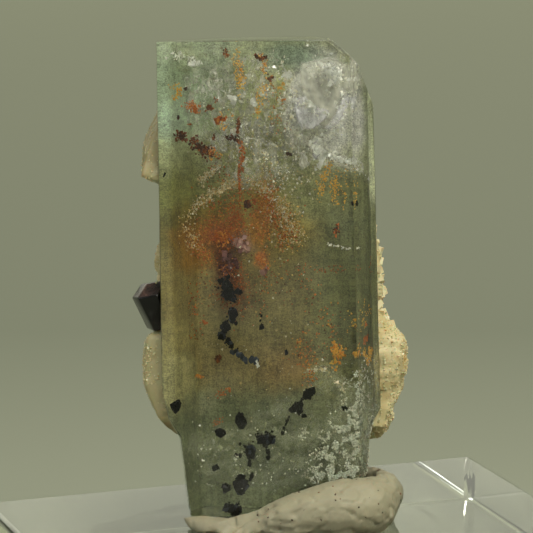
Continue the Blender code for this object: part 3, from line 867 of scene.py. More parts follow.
ironLook = {"flat": 0.6, "tall": 1.0, "ragged": 0.45, "tumble": 0.8, "deep": 0.14, "shallowest": 0.2, "clump": 7,
            "lace": 0, "within": (0.15, 20)}
ironRows = [
    # upper left: an ochre frame, then drops and blots
    ([(-8.8, 39.4), (-7.9, 39.5), (-8.0, 38.6), (-8.7, 38.3)], 0.6, (0.16, 0.2), 80, fine, ochre),
    ([(-8.9, 39.5)], 0.6, (0.14, 0.14), 14, fine, rust),
    ([(-7.3, 39.2)], 0.6, (0.08, 0.08), 6, middling, nearBlack),
    ([(-6.9, 37.7), (-6.4, 37.4)], 0.7, (0.45, 0.36), 110, fine, (0.3, 0.6)),
    ([(-6.8, 37.5), (-6.4, 37.2)], 0.7, (0.25, 0.2), 26, middling, (0.4, 0.6)),
    ([(-5.3, 37.5)], 0.7, (0.26, 0.26), 36, middling, darkRed),
    ([(-4.1, 36.4)], 0.9, (0.34, 0.36), 44, middling, (0.4, 0.8)),
    ([(-4.1, 36.6), (-3.6, 35.7)], 0.9, (0.4, 0.4), 40, fine, (0.1, 0.4)),
    ([(-4.7, 38.1)], 0.9, (0.16, 0.22), 16, fine, darkRed),
    ([(-8.1, 36.7)], 0.5, (0.08, 0.1), 6, middling, nearBlack),
    ([(-7.3, 36.0), (-6.9, 36.0)], 0.5, (0.1, 0.04), 10, fine, rust),
    ([(-8.0, 34.8), (-7.3, 34.7)], 0.6, (0.26, 0.24), 50, middling, darkRed),
    ([(-7.8, 34.8)], 0.6, (0.12, 0.12), 8, coarse, (0.8, 0.95)),
    ([(-6.8, 34.7)], 0.6, (0.14, 0.18), 18, middling, darkRed),
    ([(-4.8, 34.7)], 0.6, (0.1, 0.3), 16, fine, darkRed),
    ([(-6.6, 34.2), (-5.9, 33.8), (-5.1, 33.3)], 0.8, (0.42, 0.42), 110, middling, (0.6, 0.95)),
    ([(-6.0, 33.9)], 0.8, (0.3, 0.3), 14, coarse, (0.8, 1.0)),
    ([(-5.0, 33.4)], 0.9, (0.5, 0.4), 80, fine, (0.15, 0.5)),
    # the trail down the middle
    ([(-2.5, 36.3), (-2.7, 35.2)], 0.8, (0.14, 0.26), 36, middling, darkRed),
    ([(-3.6, 34.9), (-2.6, 34.6)], 0.8, (0.26, 0.2), 36, middling, (0.75, 1.0)),
    ([(-2.5, 34.6), (-2.2, 33.2), (-2.5, 31.4)], 1.0, (0.2, 0.3), 46, middling, rust),
    ([(-2.6, 32.0), (-2.5, 28.6)], 1.6, (0.1, 0.6), 90, fine, (0.35, 0.7)),
    ([(-5.3, 32.6), (-3.6, 31.0)], 2.5, (0.5, 0.7), 40, fine, (0.5, 0.9)),
    # yellow streaks under the top
    ([(-2.8, 42.4), (-2.4, 40.4), (-2.2, 38.9)], 1.4, (0.24, 0.8), 130, fine, ochre),
    ([(-2.3, 40.9)], 1.4, (0.1, 0.12), 8, middling, orange),
    ([(-0.4, 42.2), (0.1, 41.5), (-0.2, 40.9)], 1.2, (0.2, 0.26), 52, fine, (0.05, 0.4)),
    ([(-0.7, 42.3), (-0.2, 41.9), (0.1, 42.2)], 1.1, (0.18, 0.14), 34, middling, (0.7, 1.0)),
    ([(0.1, 39.8), (-0.6, 38.2), (-0.9, 37.0)], 1.8, (0.3, 0.6), 90, fine, ochre),
    ([(0.3, 40.3), (0.6, 40.0)], 1.3, (0.12, 0.1), 14, middling, darkRed),
    ([(-4.0, 42.6), (-3.5, 42.2)], 1.6, (0.22, 0.26), 40, fine, (0.55, 0.9)),
    ([(1.6, 39.2)], 1.5, (0.24, 0.22), 34, fine, ochre),
    ([(1.5, 38.0), (1.8, 38.1)], 1.5, (0.12, 0.1), 14, fine, orange),
    ([(1.8, 33.2), (2.3, 33.0)], 1.2, (0.12, 0.08), 14, middling, nearBlack),
    ([(0.2, 39.0), (1.4, 36.2)], 3.0, (0.8, 1.2), 60, fine, (0.1, 0.6)),
    # the yellow patch on the right
    ([(5.9, 31.9), (5.2, 30.4), (5.0, 29.3)], 2.2, (0.34, 0.6), 110, fine, ochre),
    ([(6.2, 30.8), (6.3, 28.6)], 2.4, (0.3, 0.7), 80, fine, ochre),
    ([(7.4, 32.6), (7.0, 28.4)], 2.6, (0.5, 0.8), 40, fine, ochre),
    # the rusty dome
    ([(-1.8, 28.4)], 2.6, (0.18, 0.18), 26, coarse, (0.75, 1.0)),
    ([(-1.2, 28.6)], 2.6, (0.16, 0.34), 20, fine, rust),
    ([(-0.2, 30.0), (0.3, 28.9), (-0.5, 27.4), (-0.6, 24.6)], 3.7, (0.45, 0.9), 240, fine, (0.22, 0.5)),
    ([(-3.4, 27.9), (-2.6, 26.6)], 3.7, (0.4, 0.5), 110, fine, (0.3, 0.6)),
    ([(-6.0, 26.4), (-4.2, 25.6), (-2.2, 26.0)], 3.7, (0.9, 0.9), 320, fine, (0.25, 0.62)),
    ([(-4.8, 25.4), (-3.9, 25.3)], 3.6, (0.5, 0.5), 90, middling, (0.25, 0.5)),
    ([(-7.6, 25.8), (-6.2, 24.4), (-5.4, 23.6)], 3.0, (0.8, 0.8), 170, fine, (0.2, 0.55)),
    ([(-4.4, 24.6), (-4.1, 22.6), (-3.5, 21.2)], 3.8, (0.6, 0.8), 240, fine, (0.48, 0.85)),
    ([(-3.0, 23.0), (-2.6, 20.6)], 3.8, (0.5, 0.9), 120, fine, (0.4, 0.7)),
    ([(-4.0, 21.6), (-3.4, 19.0)], 3.4, (0.7, 0.9), 190, fine, (0.5, 0.9)),
    ([(-1.0, 23.6), (-0.4, 22.8)], 3.6, (0.26, 0.4), 60, fine, (0.25, 0.5)),
    ([(0.4, 27.2), (2.0, 25.6), (1.2, 24.6)], 3.5, (0.7, 0.8), 260, fine, (0.15, 0.7)),
    ([(-5.6, 28.2), (-2.0, 29.4), (1.0, 27.6)], 3.8, (1.4, 1.3), 420, fine, (0.15, 0.7)),
    ([(-7.4, 22.0), (-3.0, 19.5), (0.6, 22.5)], 3.4, (1.8, 1.8), 240, fine, (0.2, 0.9)),
    # right and lower spots
    ([(5.9, 15.2), (6.2, 14.0), (6.8, 14.6)], 3.2, (0.3, 0.4), 120, middling, (0.02, 0.3)),
    ([(7.8, 14.5), (8.6, 13.5), (9.1, 14.2), (8.9, 14.7)], 2.6, (0.18, 0.22), 110, middling, (0.0, 0.26)),
    ([(8.4, 15.6)], 2.4, (0.22, 0.26), 50, middling, (0.35, 0.6)),
    ([(8.1, 16.9)], 3.0, (0.2, 0.26), 34, fine, (0.3, 0.55)),
    ([(8.9, 18.4), (7.2, 16.6)], 3.0, (0.5, 0.7), 46, fine, ochre),
    ([(9.4, 23.4), (9.1, 21.8)], 2.8, (0.2, 0.3), 40, fine, rust),
    ([(6.7, 26.3), (6.2, 25.4)], 3.0, (0.16, 0.2), 18, middling, (0.3, 1.0)),
    ([(6.9, 22.1), (5.3, 22.1), (2.6, 22.5)], 3.6, (0.3, 0.3), 40, fine, (0.45, 0.8)),
    ([(-5.9, 17.4)], 3.0, (0.12, 0.12), 10, middling, rust),
    ([(-4.9, 13.9)], 3.6, (0.26, 0.22), 26, middling, darkRed),
    ([(-6.9, 12.5), (-6.2, 12.3)], 3.0, (0.2, 0.12), 24, fine, (0.25, 0.45)),
    ([(-3.6, 11.2), (-4.9, 10.5)], 3.6, (0.4, 0.24), 40, fine, (0.35, 0.65)),
    ([(-5.4, 7.9), (-4.6, 8.6)], 2.0, (0.24, 0.2), 22, fine, (0.4, 0.65)),
    ([(-8.4, 21.0), (-6.8, 18.6), (-7.4, 15.6)], 2.6, (0.9, 1.2), 80, fine, (0.3, 0.9)),
    ([(3.0, 21.0), (5.6, 16.5), (2.6, 12.6)], 3.6, (1.6, 1.8), 150, fine, (0.2, 0.9)),
    ([(2.6, 15.6), (4.0, 11.6)], 3.8, (0.6, 0.9), 110, fine, (0.2, 0.5)),
]

# Black tourmaline: a chain down from the stain, then loose flakes in the lower third. Shade above 0.8 is a painted
# blue-grey glint
flakeLook = {"flat": 0.22, "tall": 1.15, "ragged": 0.45, "tumble": 0.28, "deep": 0.12, "shallowest": 0.22, "clump": 2,
             "lace": 0, "within": (0.2, 20)}
crumb, small, flat, large = (0.08, 0.24), (0.25, 0.5), (0.4, 0.8), (0.6, 1.05)
flakeRows = [
    ([(-4.2, 21.2), (-3.6, 20.7)], 2.6, (0.2, 0.22), 9, flat, (0.0, 1.0)),
    ([(-3.9, 20.4), (-3.6, 20.0)], 2.6, (0.22, 0.24), 7, large, (0.0, 1.0)),
    ([(-4.4, 21.6), (-3.4, 19.6)], 2.7, (0.4, 0.4), 16, small, (0.0, 1.0)),
    ([(-3.1, 20.3), (-2.6, 20.35)], 2.6, (0.1, 0.06), 5, small, (0.0, 0.6)),
    ([(-3.3, 18.8), (-3.6, 17.9)], 2.6, (0.16, 0.2), 8, flat, (0.0, 1.0)),
    ([(-3.8, 17.4), (-4.1, 16.8)], 2.6, (0.14, 0.16), 7, flat, (0.0, 1.0)),
    ([(-4.2, 16.5), (-4.4, 16.1)], 2.6, (0.16, 0.14), 6, flat, (0.0, 1.0)),
    ([(-4.0, 15.8), (-3.5, 15.2)], 2.6, (0.12, 0.14), 6, small, (0.2, 1.0)),
    # blue-grey crumbs under the chain: their high shade is a painted glint
    ([(-3.4, 14.9), (-2.6, 14.3), (-2.2, 14.0)], 2.4, (0.2, 0.2), 18, small, (0.8, 1.0)),
    ([(-1.7, 14.1), (-1.2, 13.8)], 2.2, (0.14, 0.24), 10, small, (0.9, 1.0)),
    ([(-3.1, 17.4)], 2.6, (0.04, 0.04), 2, small, (0.0, 0.5)),
    ([(-0.9, 18.3), (-0.6, 17.9), (-0.9, 17.6)], 1.8, (0.04, 0.04), 5, (0.12, 0.26), (0.0, 0.6)),
    ([(-0.8, 17.1)], 1.8, (0.05, 0.05), 3, small, (0.0, 0.6)),
    ([(1.5, 14.7)], 1.8, (0.04, 0.04), 2, small, (0.0, 0.6)),
    ([(-8.9, 10.1), (-8.8, 9.7)], 0.35, (0.16, 0.16), 8, large, (0.0, 0.7)),
    ([(-2.9, 8.7), (-2.8, 8.3)], 0.5, (0.18, 0.16), 9, large, (0.0, 0.7)),
    ([(-5.3, 7.5), (-4.7, 7.35)], 0.5, (0.14, 0.08), 5, flat, (0.0, 0.7)),
    ([(-1.4, 6.9), (-0.5, 6.5), (0.1, 6.8)], 0.6, (0.22, 0.18), 12, flat, (0.0, 0.9)),
    ([(-0.7, 6.4), (-0.4, 5.6), (-0.3, 4.8)], 0.6, (0.06, 0.1), 7, small, (0.0, 0.7)),
    ([(-2.3, 6.0), (-1.7, 5.6), (-2.0, 5.3)], 0.6, (0.18, 0.18), 10, flat, (0.0, 0.9)),
    ([(-3.3, 5.3), (-2.9, 5.2)], 0.5, (0.08, 0.05), 4, small, (0.4, 1.0)),
    ([(-2.1, 4.8), (-2.1, 4.4)], 0.5, (0.03, 0.06), 3, small, (0.0, 0.6)),
    ([(-1.8, 3.7), (-1.95, 3.2), (-2.1, 2.8)], 0.5, (0.03, 0.05), 6, (0.2, 0.36), (0.0, 0.6)),
    ([(-3.1, 3.1), (-2.8, 2.3), (-3.2, 1.8)], 0.5, (0.22, 0.28), 12, large, (0.0, 0.9)),
    ([(-4.3, 2.3)], 0.5, (0.12, 0.12), 4, flat, (0.0, 0.8)),
    ([(-5.5, 4.0), (-5.2, 4.2)], 0.4, (0.05, 0.04), 3, small, (0.0, 0.6)),
    ([(-4.4, 0.4), (-3.4, 0.1), (-2.8, 0.3)], 0.3, (0.2, 0.16), 12, flat, (0.0, 0.9)),
    ([(3.8, 11.1), (3.2, 10.6)], 0.7, (0.14, 0.1), 6, flat, (0.0, 0.8)),
    ([(3.0, 10.4), (1.9, 9.3)], 0.7, (0.08, 0.12), 9, flat, (0.0, 0.8)),
    ([(2.3, 9.5), (2.9, 9.0)], 0.7, (0.14, 0.1), 5, flat, (0.0, 0.8)),
    ([(1.7, 8.9), (1.2, 7.8), (1.0, 7.2)], 0.7, (0.03, 0.08), 9, (0.14, 0.3), (0.0, 0.6)),
    ([(6.6, 9.6), (6.9, 9.4)], 0.4, (0.06, 0.05), 3, small, (0.0, 0.6)),
    ([(-9.8, 30.2)], 0.4, (0.05, 0.1), 4, small, (0.0, 0.4)),
    ([(-9.4, 31.4)], 0.4, (0.06, 0.05), 3, small, (0.0, 0.6)),
    ([(7.9, 28.4)], 1.0, (0.04, 0.06), 2, small, (0.0, 0.5)),
    # crumbs that make the flakes' outlines ragged
    ([(-1.4, 6.9), (0.1, 6.8)], 0.6, (0.36, 0.3), 44, crumb, (0.0, 0.6)),
    ([(-2.3, 6.1), (-2.0, 5.2)], 0.6, (0.32, 0.3), 36, crumb, (0.0, 0.6)),
    ([(-2.9, 2.8), (-3.0, 2.2)], 0.5, (0.36, 0.36), 36, crumb, (0.0, 0.6)),
    ([(-4.2, 0.4), (-2.8, 0.3)], 0.3, (0.3, 0.3), 34, crumb, (0.0, 0.6)),
    ([(3.8, 11.2), (3.0, 10.4), (1.9, 9.3)], 0.7, (0.2, 0.2), 44, crumb, (0.0, 0.6)),
    ([(-2.9, 8.5)], 0.5, (0.3, 0.3), 20, crumb, (0.0, 0.6)),
    ([(-4.1, 21.0), (-3.4, 19.7)], 2.6, (0.46, 0.4), 44, crumb, (0.0, 0.6)),
    ([(-3.3, 18.9), (-4.4, 16.1), (-2.4, 14.2)], 2.5, (0.2, 0.26), 46, crumb, (0.0, 0.9)),
]

# Fracture glitter: shade 0 is white, 1 golden where rust has crept in
glitterLook = {"flat": 0.10, "tall": 0.9, "ragged": 0.5, "tumble": 0.7, "deep": 0.7, "shallowest": 0.3, "clump": 6,
               "lace": 0, "within": (0.2, 20)}
spark, speck, dust = (0.16, 0.5), (0.1, 0.3), (0.06, 0.2)
glitterRows = [
    ([(4.6, 41.0), (6.2, 40.4), (7.4, 39.4), (7.4, 36.8)], 2.2, (0.9, 1.0), 300, speck, (0.0, 0.2)),
    ([(5.8, 41.0), (6.4, 40.0)], 1.2, (0.4, 0.6), 90, speck, (0.0, 0.1)),
    ([(3.4, 37.8), (4.6, 37.0), (5.6, 36.6)], 1.6, (0.5, 0.3), 110, speck, (0.0, 0.15)),
    ([(2.0, 40.8), (2.2, 38.4), (2.0, 36.2), (3.2, 33.2)], 2.4, (0.7, 1.2), 200, speck, (0.0, 0.4)),
    ([(6.9, 36.0), (5.8, 34.6), (4.2, 33.4)], 1.8, (0.4, 0.5), 130, speck, (0.0, 0.2)),
    ([(4.6, 34.0), (5.2, 32.4)], 1.2, (0.3, 0.6), 100, spark, (0.0, 0.1)),
    ([(4.9, 32.8), (6.3, 32.7), (7.8, 32.2), (9.4, 30.6)], 1.4, (0.2, 0.2), 170, speck, (0.0, 0.1)),
    ([(9.3, 30.7)], 2.6, (0.1, 0.26), 30, spark, (0.0, 0.1)),
    ([(-9.2, 42.5), (-8.0, 42.4), (-6.8, 41.8)], 1.0, (0.5, 0.3), 60, speck, (0.0, 0.1)),
    ([(-7.0, 41.6), (-6.2, 41.5)], 1.0, (0.3, 0.1), 34, spark, (0.0, 0.1)),
    ([(-3.3, 38.2), (-2.8, 38.0)], 1.2, (0.16, 0.16), 20, spark, (0.0, 0.1)),
    ([(-1.4, 38.0), (-1.0, 37.8)], 1.2, (0.12, 0.16), 20, spark, (0.0, 0.1)),
    ([(-3.2, 35.3), (-3.0, 35.2)], 0.7, (0.12, 0.06), 12, spark, (0.0, 0.3)),
    ([(-6.2, 30.5), (-5.4, 31.2), (-4.5, 31.9)], 3.4, (0.2, 0.3), 200, dust, (0.3, 0.9)),
    ([(-8.1, 26.8), (-6.7, 28.4), (-4.9, 29.6), (-3.3, 30.4)], 3.4, (0.4, 0.44), 520, dust, (0.4, 1.0)),
    ([(-3.3, 30.4), (-1.6, 30.5), (0.2, 29.7), (1.6, 27.3), (2.9, 25.4)], 3.6, (0.5, 0.54), 560, dust, (0.4, 1.0)),
    ([(0.8, 28.2), (1.8, 26.6), (2.2, 24.8)], 3.4, (0.9, 1.1), 520, dust, (0.5, 1.0)),
    ([(-8.6, 27.6), (-7.6, 25.6), (-6.8, 25.0)], 2.4, (0.7, 0.9), 300, dust, (0.5, 1.0)),
    ([(-1.8, 33.8), (1.0, 31.6), (2.6, 30.0)], 3.2, (1.8, 1.6), 420, dust, (0.1, 0.8)),
    ([(5.7, 24.6), (7.5, 24.1)], 2.0, (0.4, 0.1), 30, dust, (0.0, 0.3)),
    ([(5.4, 41.0), (6.6, 40.6), (6.2, 39.8)], 1.2, (0.3, 0.3), 60, spark, (0.0, 0.1)),
    ([(3.6, 37.8), (4.2, 37.2)], 1.2, (0.2, 0.2), 40, spark, (0.0, 0.1)),
    ([(1.7, 40.5), (2.4, 40.2)], 1.2, (0.16, 0.16), 26, spark, (0.0, 0.1)),
    ([(4.5, 33.6), (4.6, 33.0)], 1.0, (0.1, 0.2), 16, spark, (0.0, 0.1)),
    ([(9.5, 30.6)], 2.9, (0.1, 0.2), 30, spark, (0.0, 0.1)),
    ([(-1.3, 14.1), (-1.2, 13.5)], 2.0, (0.04, 0.1), 16, speck, (0.0, 0.1)),
    ([(3.4, 12.8), (4.8, 13.1), (6.2, 11.6), (6.8, 10.9)], 3.6, (0.2, 0.2), 80, speck, (0.2, 0.7)),
    ([(-8.0, 6.0), (-3.0, 4.0), (3.0, 6.0)], 1.5, (2.2, 2.4), 110, dust, (0.0, 0.3)),
    ([(0.0, 20.0), (0.0, 12.0)], 3.4, (6.0, 5.0), 170, dust, (0.3, 0.9)),
    ([(-5.0, 38.0), (5.0, 34.0)], 3.0, (3.5, 4.5), 320, dust, (0.0, 0.3)),
]

# Small fluorite crystals that the rust has grown round, inside the beryl
fluoriteLook = {"flat": 1.0, "tall": 1.0, "ragged": 0.12, "tumble": 1.2, "deep": 0.3, "shallowest": 0.3, "clump": 3,
                "lace": 0, "within": (0.2, 20)}
fluoriteRows = [
    ([(-2.9, 25.1), (-2.2, 24.3)], 3.9, (0.4, 0.4), 30, (0.2, 0.5), (0.5, 1.0)),
    ([(-4.2, 23.6), (-3.6, 22.6)], 3.9, (0.4, 0.5), 26, (0.2, 0.5), (0.0, 0.5)),
    ([(-0.3, 22.0)], 3.9, (0.2, 0.2), 5, (0.2, 0.4), (0.3, 0.8)),
]

# Sugary white albite on the lower right of the broad face
sugarLook = {"flat": 0.9, "tall": 1.0, "ragged": 0.25, "tumble": 1.5, "deep": 0.02, "shallowest": -0.05, "clump": 12,
             "lace": 0.55, "within": (-0.1, 0.3)}
sugarRows = [
    ([(8.8, 12.4), (8.4, 9.6), (7.4, 7.2)], 0.0, (1.0, 1.5), 2300, (0.04, 0.13), (0.0, 1.0)),
    ([(8.6, 8.6), (8.2, 4.4)], 0.0, (0.9, 1.4), 2400, (0.04, 0.14), (0.0, 1.0)),
    ([(6.8, 8.0), (5.8, 5.6), (4.6, 3.8)], 0.0, (0.9, 1.0), 2400, (0.04, 0.13), (0.0, 1.0)),
    ([(7.8, 3.6), (4.6, 3.1)], 0.0, (1.0, 0.5), 1900, (0.04, 0.13), (0.0, 1.0)),
    ([(2.6, 6.8), (3.4, 7.4)], 0.0, (0.5, 0.5), 110, (0.05, 0.12), (0.0, 1.0)),
    ([(-7.4, 6.6), (-4.0, 3.6), (0.0, 1.4)], 0.0, (2.4, 1.8), 150, (0.03, 0.07), (0.0, 1.0)),
    ([(-3.2, 5.0)], 0.0, (0.3, 0.2), 50, (0.05, 0.12), (0.0, 1.0)),
]

# name: middle (x, depth, z), half size, turns in degrees, bow, ripple, seed, crinkle
whiteVeils = {
    "fanVeilBehind": ((4.0, 3.2, 36.4), (3.4, 4.2), (-12, 20, 16), -0.6, 0.4, 2.0, 0.9),
    "breakVeil": ((7.2, 1.9, 31.9), (2.7, 1.1), (35, 24, 0), 0.3, 0.25, 3.0, 0.4),
    "middleVeil": ((-1.0, 3.0, 33.4), (5.0, 3.6), (-10, 0, 10), 0.5, 0.5, 5.0, 0.8),
    "upperVeil": ((-3.0, 2.8, 38.0), (6.4, 5.2), (10, 0, 6), 0.5, 0.5, 9.0, 0.6),
}
paleVeils = {
    "cornerVeil": ((-7.4, 1.2, 41.8), (2.2, 1.4), (20, 8, 0), 0.2, 0.2, 4.0, 0.3),
    "topRightVeil": ((7.4, 3.0, 40.4), (2.4, 2.6), (0, 20, 0), 0.3, 0.3, 12.0, 0.4),
    "chevronVeil": ((5.0, 3.6, 11.8), (2.2, 1.5), (0, 0, 0), 0.2, 0.1, 7.0, 0.3),
    "lowerVeil": ((0.0, 2.4, 5.4), (8.0, 5.0), (14, 0, 4), 0.4, 0.6, 8.0, 0.6),
    "sugarFilm": ((7.4, 0.35, 7.0), (2.6, 5.6), (0, 0, -8), 0.1, 0.1, 31.0, 0.1),
}

# name: outline (x, z), depth, slope, bow, softness of the rim, seed, and whether it is the brighter kind
shells = {
    "fanShell": ([(3.2, 41.5), (6.0, 42.0), (7.6, 41.2), (8.0, 39.7), (7.7, 38.2), (7.3, 36.8), (6.6, 35.7),
                  (5.7, 35.1), (4.9, 35.5), (4.2, 36.4), (3.4, 38.0), (2.9, 39.6)],
                 2.2, (-0.12, 0.1), 0.5, 0.35, 3.0, False),
    "fanLobe": ([(7.9, 38.6), (7.7, 37.6), (7.3, 36.6), (6.6, 35.7), (5.7, 35.1), (5.4, 35.6), (6.2, 36.6), (7.0, 38.2)],
                1.6, (0.0, 0.2), 0.2, 0.3, 4.0, True),
    "fanGlint": ([(5.2, 41.2), (6.2, 41.6), (6.9, 40.8), (6.6, 39.6), (6.0, 39.2), (5.4, 39.9)],
                 1.4, (0.0, 0.2), 0.1, 0.5, 5.0, True),
    "ledgeShell": ([(2.5, 38.2), (3.6, 38.4), (4.8, 37.3), (6.0, 37.0), (5.6, 36.2), (4.4, 35.4), (3.2, 35.2), (2.6, 36.6)],
                   1.3, (0.0, 0.2), 0.1, 0.25, 6.0, True),
    "wedgeShell": ([(4.5, 34.5), (5.1, 34.1), (4.9, 32.9), (4.5, 32.4), (4.1, 32.9), (4.2, 33.9)],
                   1.2, (0.1, 0.1), 0.1, 0.25, 7.0, True),
    "lowWedge": ([(3.0, 33.4), (3.6, 33.2), (4.0, 32.0), (3.3, 31.4), (2.8, 32.2)], 1.6, (0.0, 0.1), 0.1, 0.4, 8.0, False),
}


# Grains grown over the cream masses

crustLook = {"flat": 0.9, "tall": 1.0, "ragged": 0.3, "tumble": 1.5, "sunk": 0.45}
lumpLook = {"flat": 0.9, "tall": 1.2, "ragged": 0.35, "tumble": 1.5, "sunk": 0.7}
dirtLook = {"flat": 0.7, "tall": 1.0, "ragged": 0.4, "tumble": 1.5, "sunk": 0.3}


def albiteShade(at, rng):
    # ochre and orange gather in patches
    rusty = fractal(at, 1.9, 2, 5.5) + rng.uniform(-0.15, 0.15)
    return rng.uniform(0.8, 1.0) if rusty > 0.5 else min(0.78, max(0.0, rng.gauss(0.5, 0.16)))


def lumpShade(at, rng):
    # whiter lumps stand along the upper right edge
    return rng.uniform(0.62, 0.78) if at.z > 16.0 and at.x > 8.6 else None


def feldsparShade(at, rng):
    # sugary at its top, smooth below
    if rng.random() > (at.z - 9.0) / 7.5:
        return None
    return rng.uniform(0.82, 0.92) if rng.random() < 0.06 else rng.uniform(0.3, 0.78)


def capShade(at, rng):
    return rng.uniform(0.3, 0.78)


def schorlShade(at, rng):
    # a cream crust where the upper end meets the crystal
    return rng.uniform(0.4, 0.8) if at.z > 21.3 - 0.5 * (at.x + 10.6) else None


def dirtShade(at, rng):
    return rng.random()


# Putty and block

puttyForm = {
    "thinEnd": -5.0,          # the roll is rounded off left of this, mm
    "rounding": 60,
    "crease": (-6.0, -1.6),   # x and z where the pressed crease starts
    "creaseRun": 1.9,         # how far right it goes for each millimetre up
    "creaseDepth": 0.8,
    "creaseWidth": 0.8,
}


def puttyRule(point, normal):
    startX, startZ = puttyForm["crease"]
    aside = (point.x - startX - (point.z - startZ) * puttyForm["creaseRun"]) / puttyForm["creaseWidth"]
    crease = math.exp(-aside * aside) if normal.y < 0 and point.z < 1.2 else 0.0
    folds = abs(fractal((point.x * 0.8, point.y, point.z * 1.6), 3.4, 2, 4.4))
    dents = fractal(point, 3.2, 2, 9.1)
    pits = max(0.0, fractal(point, 0.7, 2, 6.2) - 0.42)
    prints = fractal((point.x, point.y, point.z * 1.5), 0.9, 2, 2.7)
    pressed = 0.2 * max(0.0, 0.08 - folds) / 0.08 + 0.5 * pits + puttyForm["creaseDepth"] * crease
    return 0.14 * dents + 0.02 * prints - pressed


def makePutty(material, tree):
    putty = copyNode("mounting_putty", "mountingPutty")
    voxelRemesh(putty, 0.22)
    bpy.ops.object.mode_set(mode="EDIT")
    bpy.ops.mesh.select_all(action="DESELECT")
    bpy.ops.object.mode_set(mode="OBJECT")
    for vert in putty.data.vertices:
        vert.select = (specimenPlaceBack @ vert.co).x < puttyForm["thinEnd"]
    bpy.ops.object.mode_set(mode="EDIT")
    bpy.ops.mesh.vertices_smooth(factor=0.5, repeat=puttyForm["rounding"])
    bpy.ops.object.mode_set(mode="OBJECT")
    growOnto(putty, tree, 0.35, 0.03)
    moveVerts(putty, puttyRule)
    # its underside is pressed down onto the block
    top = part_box("display_block")[1][2]
    for vert in putty.data.vertices:
        share = min(1.0, max(0.0, (vert.co.z - top - 0.3 * mm) / (1.6 * mm)))
        vert.co.z = max(top + 0.02 * mm, vert.co.z - 0.28 * mm * (1 - share))
    putty.data.update()
    shade(putty, 50)
    finish(putty, material, "mounting_putty")
    print("putty:", len(putty.data.polygons), "faces")
    return putty


def makeBlock(material):
    block = copyNode("display_block", "displayBlock")
    shade(block, 20)
    finish(block, material, "display_block")


def addFloor():
    bpy.ops.mesh.primitive_plane_add(size=studio["floorSize"], location=(0, 0, -0.0002))
    floor = bpy.context.object
    floor.name = "studioFloor"
    material, shader = newMaterial("studio paper")
    coords = addNode(material, "ShaderNodeTexCoord")
    away = addNode(material, "ShaderNodeSeparateXYZ", links={"Vector": coords.outputs["Object"]})
    share = addNode(material, "ShaderNodeMapRange", {"From Min": 0.0, "From Max": 0.8}, {"Value": away.outputs["Y"]})
    # the ramp paints light and shade on the paper: darker behind the block, lighter in front and far back
    ramp = addNode(material, "ShaderNodeValToRGB", links={"Fac": share.outputs["Result"]})
    setRamp(ramp, [(0.0, studio["floorPaintedLightNear"]), (0.22, studio["floorPaintedShadeBehindBlock"]), (0.85, studio["floorPaintedLightFar"])])
    linkTo(material, shader, Base_Color=ramp.outputs["Color"])
    shader.inputs["Roughness"].default_value = 0.9
    floor.data.materials.append(material)


bpy.context.scene.view_settings.view_transform = "Standard"
addCamera()
addWorld()
addFloor()
for lightName in ("key", "fill", "back"):
    addLight(lightName, studio[lightName])
print("camera and studio ready")

crystal = makeCrystal(berylMaterial())
contact = crystalTree(crystal)

albiteStone = mineralMaterial("sugary albite", [(0.25, "#927C46"), (0.42, "#B0A272"), (0.58, "#BEB388"),
                                                (0.76, "#AA8846")], 1.6, (0.4, 0.75), 0.08, 0.25)
feldsparStone = mineralMaterial("cream feldspar", [(0.3, "#877B50"), (0.5, "#A0966C"), (0.7, "#B0AA82")],
                                3.0, (0.35, 0.6), 0.04, 0.3)
schorlStone = mineralMaterial("black schorl", [(0.3, "#040404"), (0.7, "#0E0E0D")], 1.0, (0.06, 0.25), 0.02, 0.0,
                              (6, 6, 0.6), 0.3)
wornSchorl = mineralMaterial("worn schorl", [(0.4, "#070505"), (0.52, "#2C1814"), (0.64, "#4E3830")], 0.6,
                             (0.2, 0.4), 0.03)
fluoriteStone = mineralMaterial("purple fluorite", [(0.3, "#4A1F55"), (0.5, "#7A3F86"), (0.7, "#B58ABB")],
                                2.0, (0.05, 0.2), 0.02, 0.1)
puttyStuff = mineralMaterial("grey mineral tack", [(0.3, "#6E6A54"), (0.5, "#827E66"), (0.7, "#8E8A70")],
                             3.0, (0.5, 0.8), 0.05, 0.1)

ironOxide = shadeRampMaterial("iron oxide grains", [(0.0, "#B8983C"), (0.2, "#B0802C"), (0.4, "#A4581E"),
                                                    (0.62, "#7C4212"), (0.82, "#482408"), (1.0, "#1A0E04")],
                              (0.35, 0.7), 0.35, colourOf=insideColour)
# shade above 0.8 turns the flakes blue-grey, a painted glint
blackFlakeAndPaintedGlint = shadeRampMaterial("black tourmaline flakes", [(0.0, "#040404"), (0.8, "#0B0B0D"), (1.0, "#4A525C")],
                               (0.2, 0.5), 0.12)
glitterFlake = shadeRampMaterial("fracture glitter", [(0.0, "#F4F7EE"), (0.45, "#E4DEBA"), (1.0, "#D6AE52")],
                                 (0.05, 0.2), 1.0)
fluoriteGrain = shadeRampMaterial("small fluorite crystals", [(0.0, "#4A2C2A"), (0.5, "#74504A"), (1.0, "#A88A7A")],
                                  (0.08, 0.25), 0.5, colourOf=insideColour)
sugarGrain = shadeRampMaterial("sugary albite grains", [(0.0, "#8E907A"), (0.6, "#BABCA4"), (1.0, "#7E806A")],
                               (0.15, 0.4), 0.6, 0.2)
crustGrain = shadeRampMaterial("cream albite grains", [(0.0, "#948354"), (0.2, "#AA9E70"), (0.55, "#BDB186"),
                                                       (0.78, "#C8BF98"), (0.9, "#B08A4C"), (1.0, "#A67C40")],
                               (0.25, 0.5), 0.5, 0.3)
puttyDirt = shadeRampMaterial("dirt in the putty", [(0.0, "#1B1614"), (0.5, "#4A2E20"), (1.0, "#7A5232")],
                              (0.5, 0.8), 0.3)
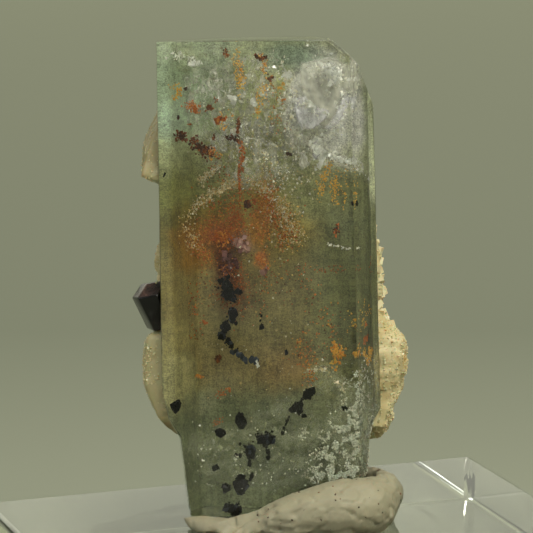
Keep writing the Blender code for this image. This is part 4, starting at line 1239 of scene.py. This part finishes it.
whiteVeil = veilMaterial("white healed fracture", "#C9D1B0", 0.6, (1.6, 1.6, 0.8), 0.12)
paleVeil = veilMaterial("pale healed fracture", "#A3A884", 0.5, (1.2, 1.2, 0.9), 0.3, (0.35, 0.7), 0.05)
paleShell = veilMaterial("pale shell crack", "#CCD4B0", 0.75, (0.8, 0.8, 0.6), 0.3, (0.3, 0.7), 0.35)
brightShell = veilMaterial("bright shell crack", "#E4E6D2", 0.95, (2.2, 2.2, 1.6), 0.15, (0.36, 0.62), 0.25)

makeHeart(heartMaterial(), crystal)
albite = makeAlbite(albiteStone, contact)
scatterGrains("ironStains", "shard", ironRows, 41, ironLook, ironOxide, contact)
scatterGrains("schorlFlakes", "slab", flakeRows, 17, flakeLook, blackFlakeAndPaintedGlint, contact)
scatterGrains("fractureGlitter", "shard", glitterRows, 23, glitterLook, glitterFlake, contact)
scatterGrains("fluoriteSpecks", "sugar", fluoriteRows, 29, fluoriteLook, fluoriteGrain, contact)
scatterGrains("sugarCrust", "sugar", sugarRows, 31, sugarLook, sugarGrain, contact)
for veilSet, veilStuff in ((whiteVeils, whiteVeil), (paleVeils, paleVeil)):
    for veilName, shape in veilSet.items():
        addVeil(veilName, *shape, veilStuff, contact)
for shellName, (*shape, bright) in shells.items():
    addShell(shellName, *shape, brightShell if bright else paleShell, contact)
lower = makeFeldspar("lower_feldspar", "lowerFeldspar", feldsparStone, contact, 3.3)
upper = makeFeldspar("upper_feldspar", "upperFeldspar", feldsparStone, contact, 8.2)
schorl = makeSchorl(schorlStone, wornSchorl)
makeFluorite(fluoriteStone, contact)
putty = makePutty(puttyStuff, contact)
sprinkleGrains("albiteCrust", albite, "sugar", 14000, 43, crustLook, (0.08, 0.24), albiteShade, crustGrain)
sprinkleGrains("albiteLumps", albite, "sugar", 900, 67, lumpLook, (0.5, 1.1), lumpShade, crustGrain)
sprinkleGrains("feldsparCrust", lower, "sugar", 2600, 47, crustLook, (0.1, 0.26), feldsparShade, crustGrain)
sprinkleGrains("feldsparCap", upper, "sugar", 500, 53, crustLook, (0.08, 0.2), capShade, crustGrain)
sprinkleGrains("schorlCrust", schorl, "sugar", 3000, 59, crustLook, (0.06, 0.2), schorlShade, crustGrain)
sprinkleGrains("puttyDirt", putty, "sugar", 150, 61, dirtLook, (0.05, 0.18), dirtShade, puttyDirt)
makeBlock(acrylicMaterial())
print("pieces ready")
